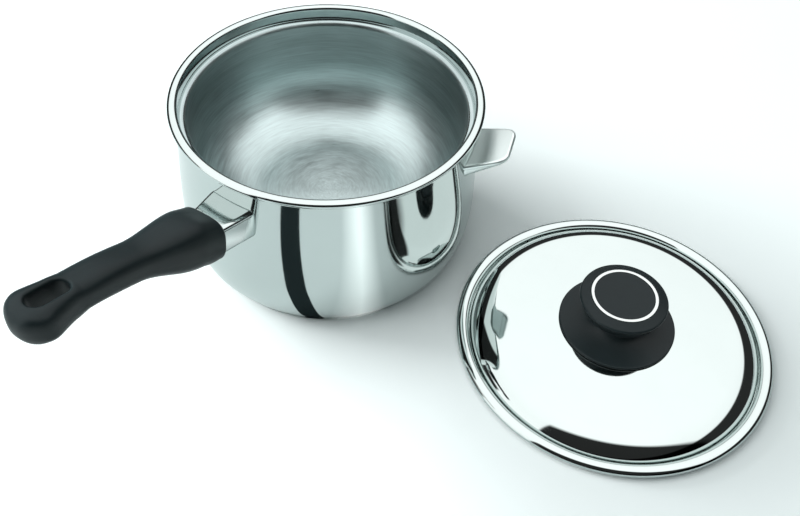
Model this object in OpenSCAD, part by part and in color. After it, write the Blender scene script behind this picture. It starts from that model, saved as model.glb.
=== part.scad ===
// Double-walled simmering pot with a welded filler spout, a long handle and a domed lid.
// The origin is at the centre of the base, on the hob, with +Z up. The handle runs along -X.
// The lid lies off the pot, on the same surface.

/* [Pot] */
// Height from the hob to the top of the rim
pot_h = 103.3; // [90:0.1:130]
// Outer radius of the rolled rim
rim_r = 86; // [78:0.1:96]
// Outer radius of the roll itself, seen in section
rim_roll_r = 1.95; // [1.6:0.05:2.5]
// Sheet thickness of the outer shell
shell_t = 0.8; // [0.6:0.05:1.2]
// How far the body swells beyond the wall under the rim
belly_out = 2.4; // [0.5:0.1:5]
// Height of the widest part of the body
belly_z = 37; // [28:0.5:50]

/* [Base] */
// Radius of the sandwich base
base_r = 75.3; // [68:0.1:80]
// Thickness of the sandwich base
base_h = 5; // [3.5:0.1:7]
// Sheet thickness of the steel cap round the base
cap_t = 0.8; // [0.5:0.05:1.2]
// Rounding of the cap's lower edge
cap_edge_r = 1.2; // [0.9:0.1:2]

/* [Inner vessel] */
// Sheet thickness of the inner vessel
liner_t = 0.8; // [0.6:0.05:1.2]
// Depth of the ledge below the top of the rim
seat_depth = 7.9; // [6:0.1:9]
// Width of the ledge, from the wall of the rim to the inner vessel's wall
ledge_w = 5.7; // [4.8:0.1:7]
// Radius of the turn between the ledge and the wall
lip_r = 3.4; // [1.5:0.1:3.8]
// Radius of the curve between the wall and the floor
liner_corner_r = 38; // [20:1:45]
// Depth of the water space under the inner vessel
jacket_depth = 22.4; // [10:0.2:28]

/* [Filler spout] */
// Direction of the spout, turned from +X towards +Y
spout_az = -73; // [-95:1:-50]
// Drop from the top of the rim to the hood, at the wall
spout_drop = 16.2; // [14:0.1:22]
// Slope of the hood, rising outward
spout_tilt = 21; // [10:1:28]
// Length of the hood along its slope
hood_l = 21.5; // [18:0.1:30]
// Width of the hood at the wall
hood_w = 33.2; // [28:0.1:38]
// Width of the hood at its outer edge
hood_tip_w = 27; // [22:0.1:28]
// Corner radius of the hood's outer edge
hood_corner_r = 7; // [3:0.1:8]
// Sheet thickness of the hood
hood_t = 1; // [0.8:0.05:1.4]
// Depth of the lip turned down round the hood
hood_lip = 2.2; // [1.8:0.1:2.8]
// Depth of the trough at the wall
trough_depth = 6.4; // [5.6:0.1:8]
// Depth of the trough at its open end
trough_tip_depth = 3.6; // [3:0.1:4.5]
// Length of the trough along the hood
trough_l = 16.5; // [14:0.1:18.5]
// Sheet thickness of the trough
trough_t = 0.8; // [0.6:0.05:1.1]

/* [Handle guard] */
// Drop from the top of the rim to the guard's top, at the wall
guard_drop = 16; // [13:0.1:20]
// Height of the guard
guard_h = 17.4; // [15:0.1:20]
// Width of the guard at the wall
guard_w = 27.7; // [24:0.1:32]
// Width of the guard at the grip
guard_tip_w = 21.3; // [19:0.1:24]
// Length of the guard along its slope
guard_l = 19.5; // [15:0.1:24]
// Slope of the guard, rising outward
guard_tilt = 7; // [2:0.5:10]
// Sheet thickness of the guard
guard_t = 1.2; // [0.8:0.05:1.5]
// Corner radius of the guard's section
guard_corner_r = 2.6; // [2:0.1:4]

/* [Handle bracket] */
// Thickness of the bracket's saddle and tongue
bracket_t = 2.5; // [2:0.1:3]
// Width of the saddle
saddle_w = 20; // [16:0.5:22]
// Height of the saddle
saddle_h = 11; // [8:0.5:12]
// Width of the tongue
tongue_w = 11; // [10:0.5:14]
// Length of the tongue along its slope
tongue_l = 37; // [35:0.5:40]
// Slope of the tongue, rising outward
tongue_tilt = 14; // [11:0.5:16]

/* [Grip] */
// Level length of the grip
grip_run = 107.7; // [100:0.2:130]
// Rise from the grip's front to its end
grip_rise = 37.5; // [26:0.5:44]
// Slope of the grip's middle line at the front
grip_start_slope = 26; // [18:0.5:28]
// Slope of the grip's middle line at the end
grip_end_slope = 1.5; // [-6:0.5:10]
// Half width at the front
grip_front_w = 14; // [12.5:0.1:16]
// Half width at the waist
grip_waist_w = 9.6; // [8.5:0.1:12]
// Half width at the end
grip_end_w = 13.3; // [11:0.1:15]
// Half height at the front
grip_front_h = 13.6; // [11:0.1:15]
// Half height at the waist
grip_waist_h = 8.1; // [7:0.1:10]
// Half height at the end
grip_end_h = 9.6; // [7.5:0.1:11]
// Length of the hanging slot
slot_l = 20; // [14:0.5:22]
// Width of the hanging slot
slot_w = 9.6; // [7:0.1:11]
// Distance from the slot's middle to the end of the grip
slot_back = 18.8; // [18:0.5:24]

/* [Screws] */
// Shank radius of both screws
screw_r = 2; // [1.5:0.1:2.5]
// Head radius of both screws
screw_head_r = 3.8; // [3.2:0.1:4.4]
// Head height of both screws
screw_head_h = 2.5; // [2:0.1:3]
// Outer radius of the washers
washer_r = 4.3; // [4:0.1:5]
// Thickness of the washers
washer_t = 0.8; // [0.5:0.1:1.2]
// Distance from the pot's wall to the handle's screw
screw_reach = 28.5; // [26:0.5:31]
// Depth of the handle screw's seat below the tongue's middle
screw_seat = 7; // [6:0.1:7.6]
// Outer radius of the threaded inserts
insert_r = 4; // [3.4:0.1:4.6]
// Length of the handle's threaded insert
handle_insert_l = 7; // [5:0.1:8]
// Length of the knob's threaded insert
knob_insert_l = 10; // [7:0.1:11]

/* [Lid] */
// Sheet thickness of the lid
lid_t = 0.8; // [0.6:0.05:1.1]
// How far the lid's edge reaches beyond the rim
lid_overhang = 1.5; // [0.8:0.1:3]
// Outer radius of the lid's rolled edge, seen in section
lid_roll_r = 1.8; // [1.5:0.05:2.2]
// How far the locating groove reaches below the rolled edge
lid_drop = 3.4; // [2.6:0.1:5]
// Half the inner width of the locating groove
groove_r = 1; // [0.8:0.05:1.5]
// Height of the lid's steel at its middle
lid_h = 15.5; // [15:0.1:26]
// Radius of the shoulder round the dome
shoulder_r = 3.5; // [2.5:0.1:5]
// Height of the shoulder's centre
shoulder_z = 7.5; // [6.5:0.1:9]
// Direction of the lid from the pot, turned from +X towards +Y
lid_az = -84.4; // [-110:0.2:-60]
// Gap in plan between the rim and the lid's edge
lid_gap = 8.8; // [4:0.1:40]

/* [Knob] */
// Radius of the knob's skirt
skirt_r = 31.7; // [28:0.1:36]
// Thickness of the skirt's edge
skirt_edge = 1.6; // [1.2:0.1:2.2]
// Height of the skirt's top above the middle of the lid
skirt_h = 7.5; // [6.5:0.1:10]
// Radius of the skirt's top
skirt_top_r = 15; // [13.5:0.1:17]
// Radius of the waist
waist_r = 14.2; // [12:0.1:16]
// Largest radius of the knob
knob_r = 23.7; // [21:0.1:26]
// Height of the knob above the middle of the lid
knob_h = 23.2; // [22:0.1:30]
// Height of the part that the hand holds
knob_cap_h = 10; // [9:0.1:12]
// Outer radius of the steel ring
ring_r = 18; // [16:0.1:19]
// Width of the steel ring
ring_w = 1.9; // [1.4:0.1:2.6]
// How far the steel ring stands proud
ring_proud = 0.35; // [0.1:0.05:0.6]
// Depth of the seat for the ring and the disc
inlay_depth = 1.8; // [1.2:0.1:2.2]

/* [Hidden] */
$fn = 96;

// Clearances
weld_gap = 0.1;      // between two welded or soldered faces that are curved
fit_gap = 0.05;      // round an insert or an inlay pressed into its seat
hole_gap = 0.3;      // round a screw or in a slot
lid_clear = 0.6;     // round the lid's groove, in the rim
past = 1;            // how far a cut runs past the face that it opens
foot_step = 0.3;     // from the base's edge out to the foot of the body

// Steel sheet of the pot
seat_r = rim_r - 2*rim_roll_r;
neck_r = seat_r + shell_t;
belly_r = neck_r + belly_out;
foot_r = base_r + foot_step;
roll_z = pot_h - rim_roll_r;
ledge_z = pot_h - seat_depth;
liner_r = seat_r - ledge_w;
liner_floor_z = base_h + shell_t + jacket_depth + liner_t;
curl_end = -110;
wall_steps = 14;

// Outer radius of the shell at height z, between the belly and the rim
function ease(u) = u <= 0 ? 0 : u >= 1 ? 1 : u*u*(3 - 2*u);
function wall_r(z) = belly_r - belly_out*ease((z - belly_z)/(ledge_z - belly_z));

// Points of an elliptical arc about (x, y), one about every step degrees
wide_step = 7.5;     // on a large curve
fine_step = 13;      // on a small roll or edge
function arc(x, y, a, b, from, to, step = wide_step) =
    let (n = ceil(abs(to - from)/step))
    [for (i = [0:n]) let (t = from + (to - from)*i/n) [x + a*cos(t), y + b*sin(t)]];

// Points up the wall, drawn in by inset
function wall_points(inset) =
    [for (i = [1:wall_steps]) let (z = belly_z + (ledge_z - belly_z)*i/wall_steps)
        [wall_r(z) - inset, z]];

// Points round the foot of the body, drawn in by inset
function foot_points(inset) =
    arc(foot_r, belly_z, belly_r - foot_r - inset, belly_z - base_h - inset, -90, 0);

function reversed(list) = [for (i = [len(list) - 1:-1:0]) list[i]];

// Solid of the pot's outside, grown by gap, that cuts what is welded to it
module pot_space(gap) {
    rotate_extrude()
        polygon(concat([[0, base_h]], foot_points(-gap), wall_points(-gap),
                       [[neck_r + gap, pot_h], [0, pot_h]]));
}

module base_cap() {
    color("#b9bcbc")
        rotate_extrude()
            polygon(concat([[0, 0]],
                           arc(base_r - cap_edge_r, cap_edge_r, cap_edge_r, cap_edge_r, -90, 0, fine_step),
                           [[base_r, base_h], [base_r - cap_t, base_h], [base_r - cap_t, cap_t],
                            [0, cap_t]]));
}

module base_core() {
    color("#9ea3a6")
        translate([0, 0, cap_t])
            cylinder(r = base_r - cap_t - weld_gap, h = base_h - cap_t);
}

module shell_form() {
    roll_x = seat_r + rim_roll_r;
    roll_in = rim_roll_r - shell_t;
    rotate_extrude()
        polygon(concat([[0, base_h]], foot_points(0), wall_points(0),
                       arc(roll_x, roll_z, roll_in, roll_in, 180, curl_end, fine_step),
                       arc(roll_x, roll_z, rim_roll_r, rim_roll_r, curl_end, 180),
                       reversed(wall_points(shell_t)), reversed(foot_points(shell_t)),
                       [[0, base_h + shell_t]]));
}

module outer_shell() {
    color("#c4cac9")
        difference() {
            shell_form();
            at_spout()
                trough_bore(-wall_bite, past);
        }
}

module inner_vessel() {
    lip_x = liner_r + lip_r;
    lip_z = ledge_z - lip_r;
    corner_x = liner_r - liner_corner_r;
    corner_z = liner_floor_z + liner_corner_r;
    back_r = liner_corner_r + liner_t;
    color("#aeb2b1")
        rotate_extrude()
            polygon(concat([[0, liner_floor_z]],
                           arc(corner_x, corner_z, liner_corner_r, liner_corner_r, -90, 0),
                           arc(lip_x, lip_z, lip_r, lip_r, 180, 90, fine_step),
                           [[seat_r - weld_gap, ledge_z], [seat_r - weld_gap, ledge_z - liner_t]],
                           arc(lip_x, lip_z, lip_r - liner_t, lip_r - liner_t, 90, 180, fine_step),
                           arc(corner_x, corner_z, back_r, back_r, 0, -90),
                           [[0, liner_floor_z - liner_t]]));
}

// Filler spout: a hood welded over a trough. Along the spout, +X runs outward on the hood's top.
spout_z = pot_h - spout_drop;
hood_taper = (hood_w - hood_tip_w)/2/hood_l;
trough_in = 1.5;     // how far the trough's sides lie inside the hood's
wall_bite = 6;       // how far a part reaches into the wall before it is trimmed to it

module at_spout() {
    rotate([0, 0, spout_az])
        translate([wall_r(spout_z), 0, spout_z])
            rotate([0, -spout_tilt, 0])
                children();
}

// Outline of the hood in plan, drawn in by inset, from the given start to its rounded end
function hood_side(inset, u) = hood_w/2 - hood_taper*u - inset*sqrt(1 + hood_taper*hood_taper);
function hood_outline(inset, start) =
    let (r = hood_corner_r - inset,
         x = hood_l - hood_corner_r,
         y = hood_side(hood_corner_r, x),
         lean = 90 - atan(hood_taper),
         corner = arc(x, y, r, r, lean, 0, fine_step))
    concat([[start, hood_side(inset, start)]], corner,
           [for (p = reversed(corner)) [p[0], -p[1]]], [[start, -hood_side(inset, start)]]);

// Straight-sided plan of the trough, drawn in by inset
module trough_plan(inset, start, end) {
    polygon([[start, hood_side(inset, start)], [end, hood_side(inset, end)],
             [end, -hood_side(inset, end)], [start, -hood_side(inset, start)]]);
}

// Wedge under the hood: its floor rises from the wall to the open end
module trough_wedge(inset, lift, top, start, end) {
    fall = (trough_depth - trough_tip_depth)/trough_l;
    intersection() {
        translate([0, 0, -hood_t - 2*trough_depth])
            linear_extrude(height = 3*trough_depth)
                trough_plan(inset, start, end);
        rotate([90, 0, 0])
            linear_extrude(height = 2*hood_w, center = true)
                polygon([[start, top], [end, top],
                         [end, lift - hood_t - trough_depth + fall*end],
                         [start, lift - hood_t - trough_depth + fall*start]]);
    }
}

module trough_bore(start, end) {
    trough_wedge(trough_in + trough_t, trough_t, -hood_t - weld_gap, start, end);
}

module spout_hood() {
    color("#c4cac9")
        difference() {
            at_spout()
                difference() {
                    translate([0, 0, -hood_lip])
                        linear_extrude(height = hood_lip)
                            polygon(hood_outline(0, -wall_bite));
                    translate([0, 0, -hood_lip - past])
                        linear_extrude(height = hood_lip + past - hood_t)
                            polygon(hood_outline(hood_t, -wall_bite - past));
                }
            pot_space(weld_gap);
        }
}

module spout_trough() {
    color("#b4baba")
        difference() {
            at_spout()
                difference() {
                    trough_wedge(trough_in, 0, -hood_t - weld_gap, -wall_bite, trough_l);
                    trough_wedge(trough_in + trough_t, trough_t, past, -wall_bite - past,
                                 trough_l + past);
                }
            pot_space(weld_gap);
        }
}

// Handle. Its frame is turned so that +X runs outward from the pot's axis.
guard_z = pot_h - guard_drop - guard_h/2;
root_r = wall_r(guard_z);
grip_front_x = root_r + guard_l*cos(guard_tilt) + weld_gap;
grip_front_z = guard_z + guard_l*sin(guard_tilt);
grip_lift = 0.6;     // how far the grip's front stands above the guard's middle line
screw_x = root_r + screw_reach;
tongue_z = guard_z + screw_reach*tan(tongue_tilt);
seat_z = tongue_z - screw_seat;
insert_z = tongue_z + bracket_t;

module turn_to_handle() {
    rotate([0, 0, 180])
        children();
}

module at_guard(tilt) {
    turn_to_handle()
        translate([root_r, 0, guard_z])
            rotate([0, -tilt, 0])
                children();
}

// Tapered sleeve, drawn in by inset, with rounded corners
module guard_form(inset, start, end) {
    slice = 0.01;
    corner_r = guard_corner_r - inset;
    hull()
        for (x = [start, end - slice], y = [-1, 1], z = [-1, 1])
            let (w = guard_w + (guard_tip_w - guard_w)*x/guard_l)
                translate([x, y*(w/2 - guard_corner_r), z*(guard_h/2 - guard_corner_r)])
                    rotate([0, 90, 0])
                        cylinder(r = corner_r, h = slice, $fn = 32);
}

module handle_guard() {
    color("#c4cac9")
        difference() {
            at_guard(guard_tilt)
                difference() {
                    guard_form(0, -wall_bite, guard_l);
                    guard_form(guard_t, -wall_bite - past, guard_l + past);
                }
            pot_space(weld_gap);
        }
}

module tongue(grow) {
    translate([-wall_bite, -tongue_w/2 - grow, -bracket_t/2 - grow])
        cube([wall_bite + tongue_l + grow, tongue_w + 2*grow, bracket_t + 2*grow]);
}

module handle_bracket() {
    color("#a9adad")
        difference() {
            union() {
                intersection() {
                    at_guard(0)
                        translate([-wall_bite, -saddle_w/2, -saddle_h/2])
                            cube([2*wall_bite, saddle_w, saddle_h]);
                    pot_space(weld_gap + bracket_t/2);
                }
                at_guard(tongue_tilt)
                    tongue(0);
            }
            pot_space(weld_gap);
            screw_hole(seat_z, insert_z);
        }
}

// Clearance hole for the handle's screw, from one height to another
module screw_hole(from, to) {
    turn_to_handle()
        translate([screw_x, 0, from])
            cylinder(r = screw_r + hole_gap, h = to - from);
}

// Grip: sections carried along a curved middle line, from the guard to the rounded end
grip_rings = 40;
grip_sides = 28;
grip_lead = grip_run/3;
crest_power = 3.4;   // squareness of the section's upper half, where 2 is an ellipse
belly_power = 2.5;   // squareness of the section's lower half
tip_l = 13;          // length of the rounded end
front_round = 1.4;   // rounding round the front face
turn_end = 0.2;      // share of the length over which the sections turn from the guard's slope
upright_from = 0.5;  // share where the sections begin to turn upright, for the slot
upright_full = 0.7;  // share where they stand upright
waist_from = 0.12;   // share of the length where the front begins to draw in
waist_full = 0.44;   // share where the waist is reached
tail_from = 0.74;    // share where the end begins to swell
tail_full = 0.95;    // share where the end's full size is reached

grip_path = [[grip_front_x, grip_front_z + grip_lift],
             [grip_front_x + grip_lead, grip_front_z + grip_lift + grip_lead*tan(grip_start_slope)],
             [grip_front_x + grip_run - grip_lead,
              grip_front_z + grip_lift + grip_rise - grip_lead*tan(grip_end_slope)],
             [grip_front_x + grip_run, grip_front_z + grip_lift + grip_rise]];

function bezier(p, t) = let (s = 1 - t)
    s*s*s*p[0] + 3*s*s*t*p[1] + 3*s*t*t*p[2] + t*t*t*p[3];
function bezier_slope(p, t) = let (s = 1 - t,
                                   d = s*s*(p[1] - p[0]) + 2*s*t*(p[2] - p[1]) + t*t*(p[3] - p[2]))
    atan2(d[1], d[0]);

// Half sizes along the grip: broad at the front, drawn in at the waist, fuller at the end
function swell(t, front, waist, end) =
    waist + (front - waist)*ease((waist_full - t)/(waist_full - waist_from))
    + (end - waist)*ease((t - tail_from)/(tail_full - tail_from));
function tip_depth(t) = max(0, 1 - (1 - t)*grip_run/tip_l);
function front_depth(t) = max(0, 1 - t*grip_run/front_round);
function grip_half_w(t) = (swell(t, grip_front_w, grip_waist_w, grip_end_w) - front_depth(t))
    *sqrt(1 - pow(tip_depth(t), 2));
function grip_half_h(t) = (swell(t, grip_front_h, grip_waist_h, grip_end_h) - front_depth(t))
    *sqrt(1 - pow(tip_depth(t), 4));
function section_slope(t) =
    let (k = ease(t/turn_end),
         upright = ease((t - upright_from)/(upright_full - upright_from)))
    (guard_tilt*(1 - k) + bezier_slope(grip_path, t)*k)*(1 - upright);

function signed_power(v, e) = sign(v)*pow(abs(v), e);
function grip_point(t, turn) =
    let (c = bezier(grip_path, t),
         lean = section_slope(t),
         e = 2/(sin(turn) > 0 ? crest_power : belly_power),
         y = grip_half_w(t)*signed_power(cos(turn), e),
         up = grip_half_h(t)*signed_power(sin(turn), e))
    [c[0] - up*sin(lean), y, c[1] + up*cos(lean)];

// Ring places: close together at both ends, where the section changes fast
function ring_t(i) = 0.5 - 0.5*cos(180*i/grip_rings);

module grip_form() {
    last = grip_rings - 1;
    start = bezier(grip_path, 0);
    end = bezier(grip_path, 1);
    points = concat([for (i = [0:last], j = [0:grip_sides - 1])
                        grip_point(ring_t(i), 360*(j + 0.5)/grip_sides)],
                    [[start[0], 0, start[1]], [end[0], 0, end[1]]]);
    front = len(points) - 2;
    tip = len(points) - 1;
    faces = concat(
        [for (i = [0:last - 1], j = [0:grip_sides - 1]) let (k = (j + 1)%grip_sides)
            [i*grip_sides + j, i*grip_sides + k, (i + 1)*grip_sides + j]],
        [for (i = [0:last - 1], j = [0:grip_sides - 1]) let (k = (j + 1)%grip_sides)
            [i*grip_sides + k, (i + 1)*grip_sides + k, (i + 1)*grip_sides + j]],
        [for (j = [0:grip_sides - 1]) [front, (j + 1)%grip_sides, j]],
        [for (j = [0:grip_sides - 1])
            [tip, last*grip_sides + j, last*grip_sides + (j + 1)%grip_sides]]);
    polyhedron(points, faces);
}

module hanging_slot() {
    middle_x = grip_front_x + grip_run - slot_back;
    half = (slot_l - slot_w)/2;
    low = grip_front_z;
    height = grip_rise + 3*grip_end_h;
    translate([middle_x, 0, low]) {
        for (side = [-1, 1])
            translate([side*half, 0, 0])
                cylinder(r = slot_w/2, h = height);
        translate([-half, -slot_w/2, 0])
            cube([2*half, slot_w, height]);
    }
}

module handle_grip() {
    color("#1b1c1e")
        difference() {
            turn_to_handle()
                difference() {
                    grip_form();
                    hanging_slot();
                    translate([screw_x, 0, seat_z - grip_front_h - grip_waist_h])
                        cylinder(r = washer_r + hole_gap, h = grip_front_h + grip_waist_h);
                    translate([screw_x, 0, insert_z])
                        cylinder(r = insert_r + fit_gap, h = handle_insert_l + fit_gap);
                }
            at_guard(tongue_tilt)
                tongue(hole_gap);
            screw_hole(seat_z - past, insert_z + past);
        }
}

module insert(length) {
    difference() {
        cylinder(r = insert_r, h = length);
        translate([0, 0, -past])
            cylinder(r = screw_r + fit_gap, h = length + 2*past);
    }
}

module screw(shank) {
    translate([0, 0, -screw_head_h])
        cylinder(r = screw_head_r, h = screw_head_h);
    cylinder(r = screw_r, h = shank);
}

module washer() {
    difference() {
        cylinder(r = washer_r, h = washer_t);
        translate([0, 0, -past])
            cylinder(r = screw_r + hole_gap, h = washer_t + 2*past);
    }
}

module handle_insert() {
    color("#c9a54a")
        turn_to_handle()
            translate([screw_x, 0, insert_z])
                insert(handle_insert_l);
}

module handle_screw() {
    color("#a9adad")
        turn_to_handle()
            translate([screw_x, 0, seat_z - washer_t])
                screw(insert_z + handle_insert_l - past - seat_z + washer_t);
}

module handle_washer() {
    color("#9ea3a6")
        turn_to_handle()
            translate([screw_x, 0, seat_z - washer_t])
                washer();
}

// Lid. Its own frame stands at the middle of the lid, on the table.
lid_r = rim_r + lid_overhang;
spigot_r = seat_r - lid_clear;
groove_out = groove_r + lid_t;
groove_x = spigot_r - groove_out;
edge_z = lid_drop + lid_roll_r;
flange_z = edge_z + lid_roll_r;
bend_r = 0.8;        // inner radius of the bend between the groove and the flange
shoulder_x = groove_x - groove_r - shoulder_r;
dome_r = (pow(shoulder_x, 2) + pow(lid_h - shoulder_z, 2) - pow(shoulder_r, 2))
    /(2*(lid_h - shoulder_z - shoulder_r));
dome_edge = atan2(shoulder_z - lid_h + dome_r, shoulder_x);
lid_away = rim_r + lid_r + lid_gap;
lid_curl_end = -150;
dome_step = 0.9;     // degrees between the points of the dome's shallow arc

module at_lid() {
    translate([lid_away*cos(lid_az), lid_away*sin(lid_az), 0])
        children();
}

// Height of the dome's outside at radius r, with a gap above it
function dome_z(r, gap = 0) = lid_h - dome_r + sqrt(pow(dome_r + gap, 2) - r*r);

module lid_shell() {
    roll_x = lid_r - lid_roll_r;
    roll_in = lid_roll_r - lid_t;
    bend_x = spigot_r + bend_r;
    bend_z = flange_z - lid_t - bend_r;
    bend_out = bend_r + lid_t;
    inner_r = shoulder_r - lid_t;
    dome_in = dome_r - lid_t;
    color("#ccd1d0")
        at_lid()
            difference() {
                rotate_extrude()
                    polygon(concat(
                        arc(0, lid_h - dome_r, dome_r, dome_r, 90, dome_edge, dome_step),
                        arc(shoulder_x, shoulder_z, shoulder_r, shoulder_r, dome_edge, 0),
                        arc(groove_x, groove_out, groove_r, groove_r, 180, 360, fine_step),
                        arc(bend_x, bend_z, bend_out, bend_out, 180, 90, fine_step),
                        arc(roll_x, edge_z, lid_roll_r, lid_roll_r, 90, lid_curl_end, fine_step),
                        arc(roll_x, edge_z, roll_in, roll_in, lid_curl_end, 90, fine_step),
                        arc(bend_x, bend_z, bend_r, bend_r, 90, 180, fine_step),
                        arc(groove_x, groove_out, groove_out, groove_out, 0, -180, fine_step),
                        arc(shoulder_x, shoulder_z, inner_r, inner_r, 0, dome_edge),
                        arc(0, lid_h - dome_r, dome_in, dome_in, dome_edge, 90, dome_step)));
                cylinder(r = screw_r + hole_gap, h = lid_h + past);
            }
}

// Knob, stacked on the middle of the lid
skirt_top_z = lid_h + skirt_h;
knob_top_z = lid_h + knob_h;
cap_low_z = knob_top_z - knob_cap_h;
inlay_z = knob_top_z - inlay_depth;
knob_insert_z = skirt_top_z + hole_gap;
knob_edge_r = 1.5;   // rounding of the knob's edges
knob_draw_in = 2.4;  // how far the knob's side is drawn in at its lower edge
knob_slope = 1.6;    // fall of the knob's top from the ring to its edge
seat_steps = 8;      // points across the skirt's underside, which follows the dome

module knob_base() {
    edge_r = skirt_edge/2;
    rim_x = skirt_r - edge_r;
    low = dome_z(rim_x, weld_gap);
    middle = low + edge_r;
    hole_r = screw_r + hole_gap;
    under = [for (i = [0:seat_steps]) let (r = hole_r + (rim_x - hole_r)*i/seat_steps)
                [r, dome_z(r, weld_gap)]];
    color("#1b1c1e")
        at_lid()
            rotate_extrude()
                polygon(concat(under, arc(rim_x, middle, edge_r, edge_r, -60, 90, fine_step),
                               arc(rim_x, skirt_top_z, rim_x - skirt_top_r,
                                   skirt_top_z - middle - edge_r, -90, -180),
                               [[hole_r, skirt_top_z]]));
}

module knob_grip() {
    under_x = knob_r - knob_draw_in;
    edge_x = knob_r - knob_edge_r;
    edge_z = knob_top_z - knob_slope - knob_edge_r;
    color("#1b1c1e")
        at_lid()
            difference() {
                rotate_extrude()
                    polygon(concat([[0, skirt_top_z], [waist_r, skirt_top_z]],
                                   arc(under_x - knob_edge_r, skirt_top_z,
                                       under_x - knob_edge_r - waist_r, cap_low_z - skirt_top_z,
                                       180, 90),
                                   arc(under_x - knob_edge_r, cap_low_z + knob_edge_r,
                                       knob_edge_r, knob_edge_r, -90, 0, fine_step),
                                   arc(edge_x, edge_z, knob_edge_r, knob_edge_r, 0, 75, fine_step),
                                   [[ring_r + fit_gap, knob_top_z], [0, knob_top_z]]));
                translate([0, 0, inlay_z])
                    cylinder(r = ring_r + fit_gap, h = inlay_depth + past);
                translate([0, 0, skirt_top_z - past])
                    cylinder(r = insert_r + fit_gap,
                             h = knob_insert_l + hole_gap + fit_gap + past);
            }
}

module knob_ring() {
    height = inlay_depth + ring_proud;
    soft = ring_w/4;
    color("#d8dcdc")
        at_lid()
            translate([0, 0, inlay_z])
                rotate_extrude()
                    polygon(concat([[ring_r - ring_w, 0], [ring_r, 0]],
                                   arc(ring_r - soft, height - soft, soft, soft, 0, 90, fine_step),
                                   arc(ring_r - ring_w + soft, height - soft, soft, soft,
                                       90, 180, fine_step)));
}

module knob_disc() {
    color("#202123")
        at_lid()
            translate([0, 0, inlay_z])
                cylinder(r = ring_r - ring_w - fit_gap, h = inlay_depth);
}

module knob_insert() {
    color("#c9a54a")
        at_lid()
            translate([0, 0, knob_insert_z])
                insert(knob_insert_l);
}

washer_z = lid_h - lid_t - washer_t - weld_gap;

module knob_screw() {
    color("#a9adad")
        at_lid()
            translate([0, 0, washer_z])
                screw(knob_insert_z + knob_insert_l - past - washer_z);
}

module knob_washer() {
    color("#9ea3a6")
        at_lid()
            translate([0, 0, washer_z])
                washer();
}

base_cap();
base_core();
outer_shell();
inner_vessel();
spout_hood();
spout_trough();
handle_bracket();
handle_guard();
handle_grip();
handle_insert();
handle_screw();
handle_washer();
lid_shell();
knob_base();
knob_grip();
knob_ring();
knob_disc();
knob_insert();
knob_screw();
knob_washer();
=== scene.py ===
"""Surfaces, finishes and studio of a double-walled simmering pot with its lid.

Every surface is worked out on whole numpy arrays, in metres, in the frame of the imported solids:
the pot's axis is Z, the handle runs along -X, and the lid lies off the pot on an axis of its own.
"""

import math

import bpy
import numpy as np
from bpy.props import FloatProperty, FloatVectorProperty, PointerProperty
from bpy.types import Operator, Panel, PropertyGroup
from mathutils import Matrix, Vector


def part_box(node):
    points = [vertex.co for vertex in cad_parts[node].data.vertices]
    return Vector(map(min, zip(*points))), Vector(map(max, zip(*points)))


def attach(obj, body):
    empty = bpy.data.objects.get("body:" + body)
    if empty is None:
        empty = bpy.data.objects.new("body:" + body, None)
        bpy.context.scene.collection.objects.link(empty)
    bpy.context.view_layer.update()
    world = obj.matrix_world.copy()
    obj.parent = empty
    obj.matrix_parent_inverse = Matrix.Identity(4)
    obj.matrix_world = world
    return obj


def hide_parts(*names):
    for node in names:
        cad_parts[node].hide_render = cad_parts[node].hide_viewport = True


bl_info = {
    "name": "Simmering Pot",
    "version": (1, 0, 0),
    "blender": (4, 5, 0),
    "location": "View3D > Sidebar > Simmering Pot",
    "description": "Surfaces, finishes and studio of a double-walled simmering pot",
    "category": "Object",
}

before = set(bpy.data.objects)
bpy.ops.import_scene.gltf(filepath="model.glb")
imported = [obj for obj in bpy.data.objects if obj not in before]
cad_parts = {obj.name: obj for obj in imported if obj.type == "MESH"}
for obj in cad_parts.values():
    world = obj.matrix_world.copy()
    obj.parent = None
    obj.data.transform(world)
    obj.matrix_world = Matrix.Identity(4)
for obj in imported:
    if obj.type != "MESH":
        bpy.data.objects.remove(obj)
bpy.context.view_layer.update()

MM = 0.001
POT = "pot"
LID = "lid"


# Properties

def length(label, description, millimetres):
    """A length that a user can change, written in millimetres and held in metres."""
    return FloatProperty(name=label, description=description, default=millimetres*MM,
                         unit="LENGTH", precision=5)


def angle(label, description, degrees):
    """An angle that a user can change, written in degrees and held in radians."""
    return FloatProperty(name=label, description=description, default=math.radians(degrees),
                         subtype="ANGLE", unit="ROTATION")


def colour(label, description, red, green, blue):
    """A linear colour that a user can change."""
    return FloatVectorProperty(name=label, description=description, default=(red, green, blue),
                               subtype="COLOR", size=3, min=0, max=1)


def share(label, description, default):
    """A plain number that a user can change."""
    return FloatProperty(name=label, description=description, default=default, min=0)


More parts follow.
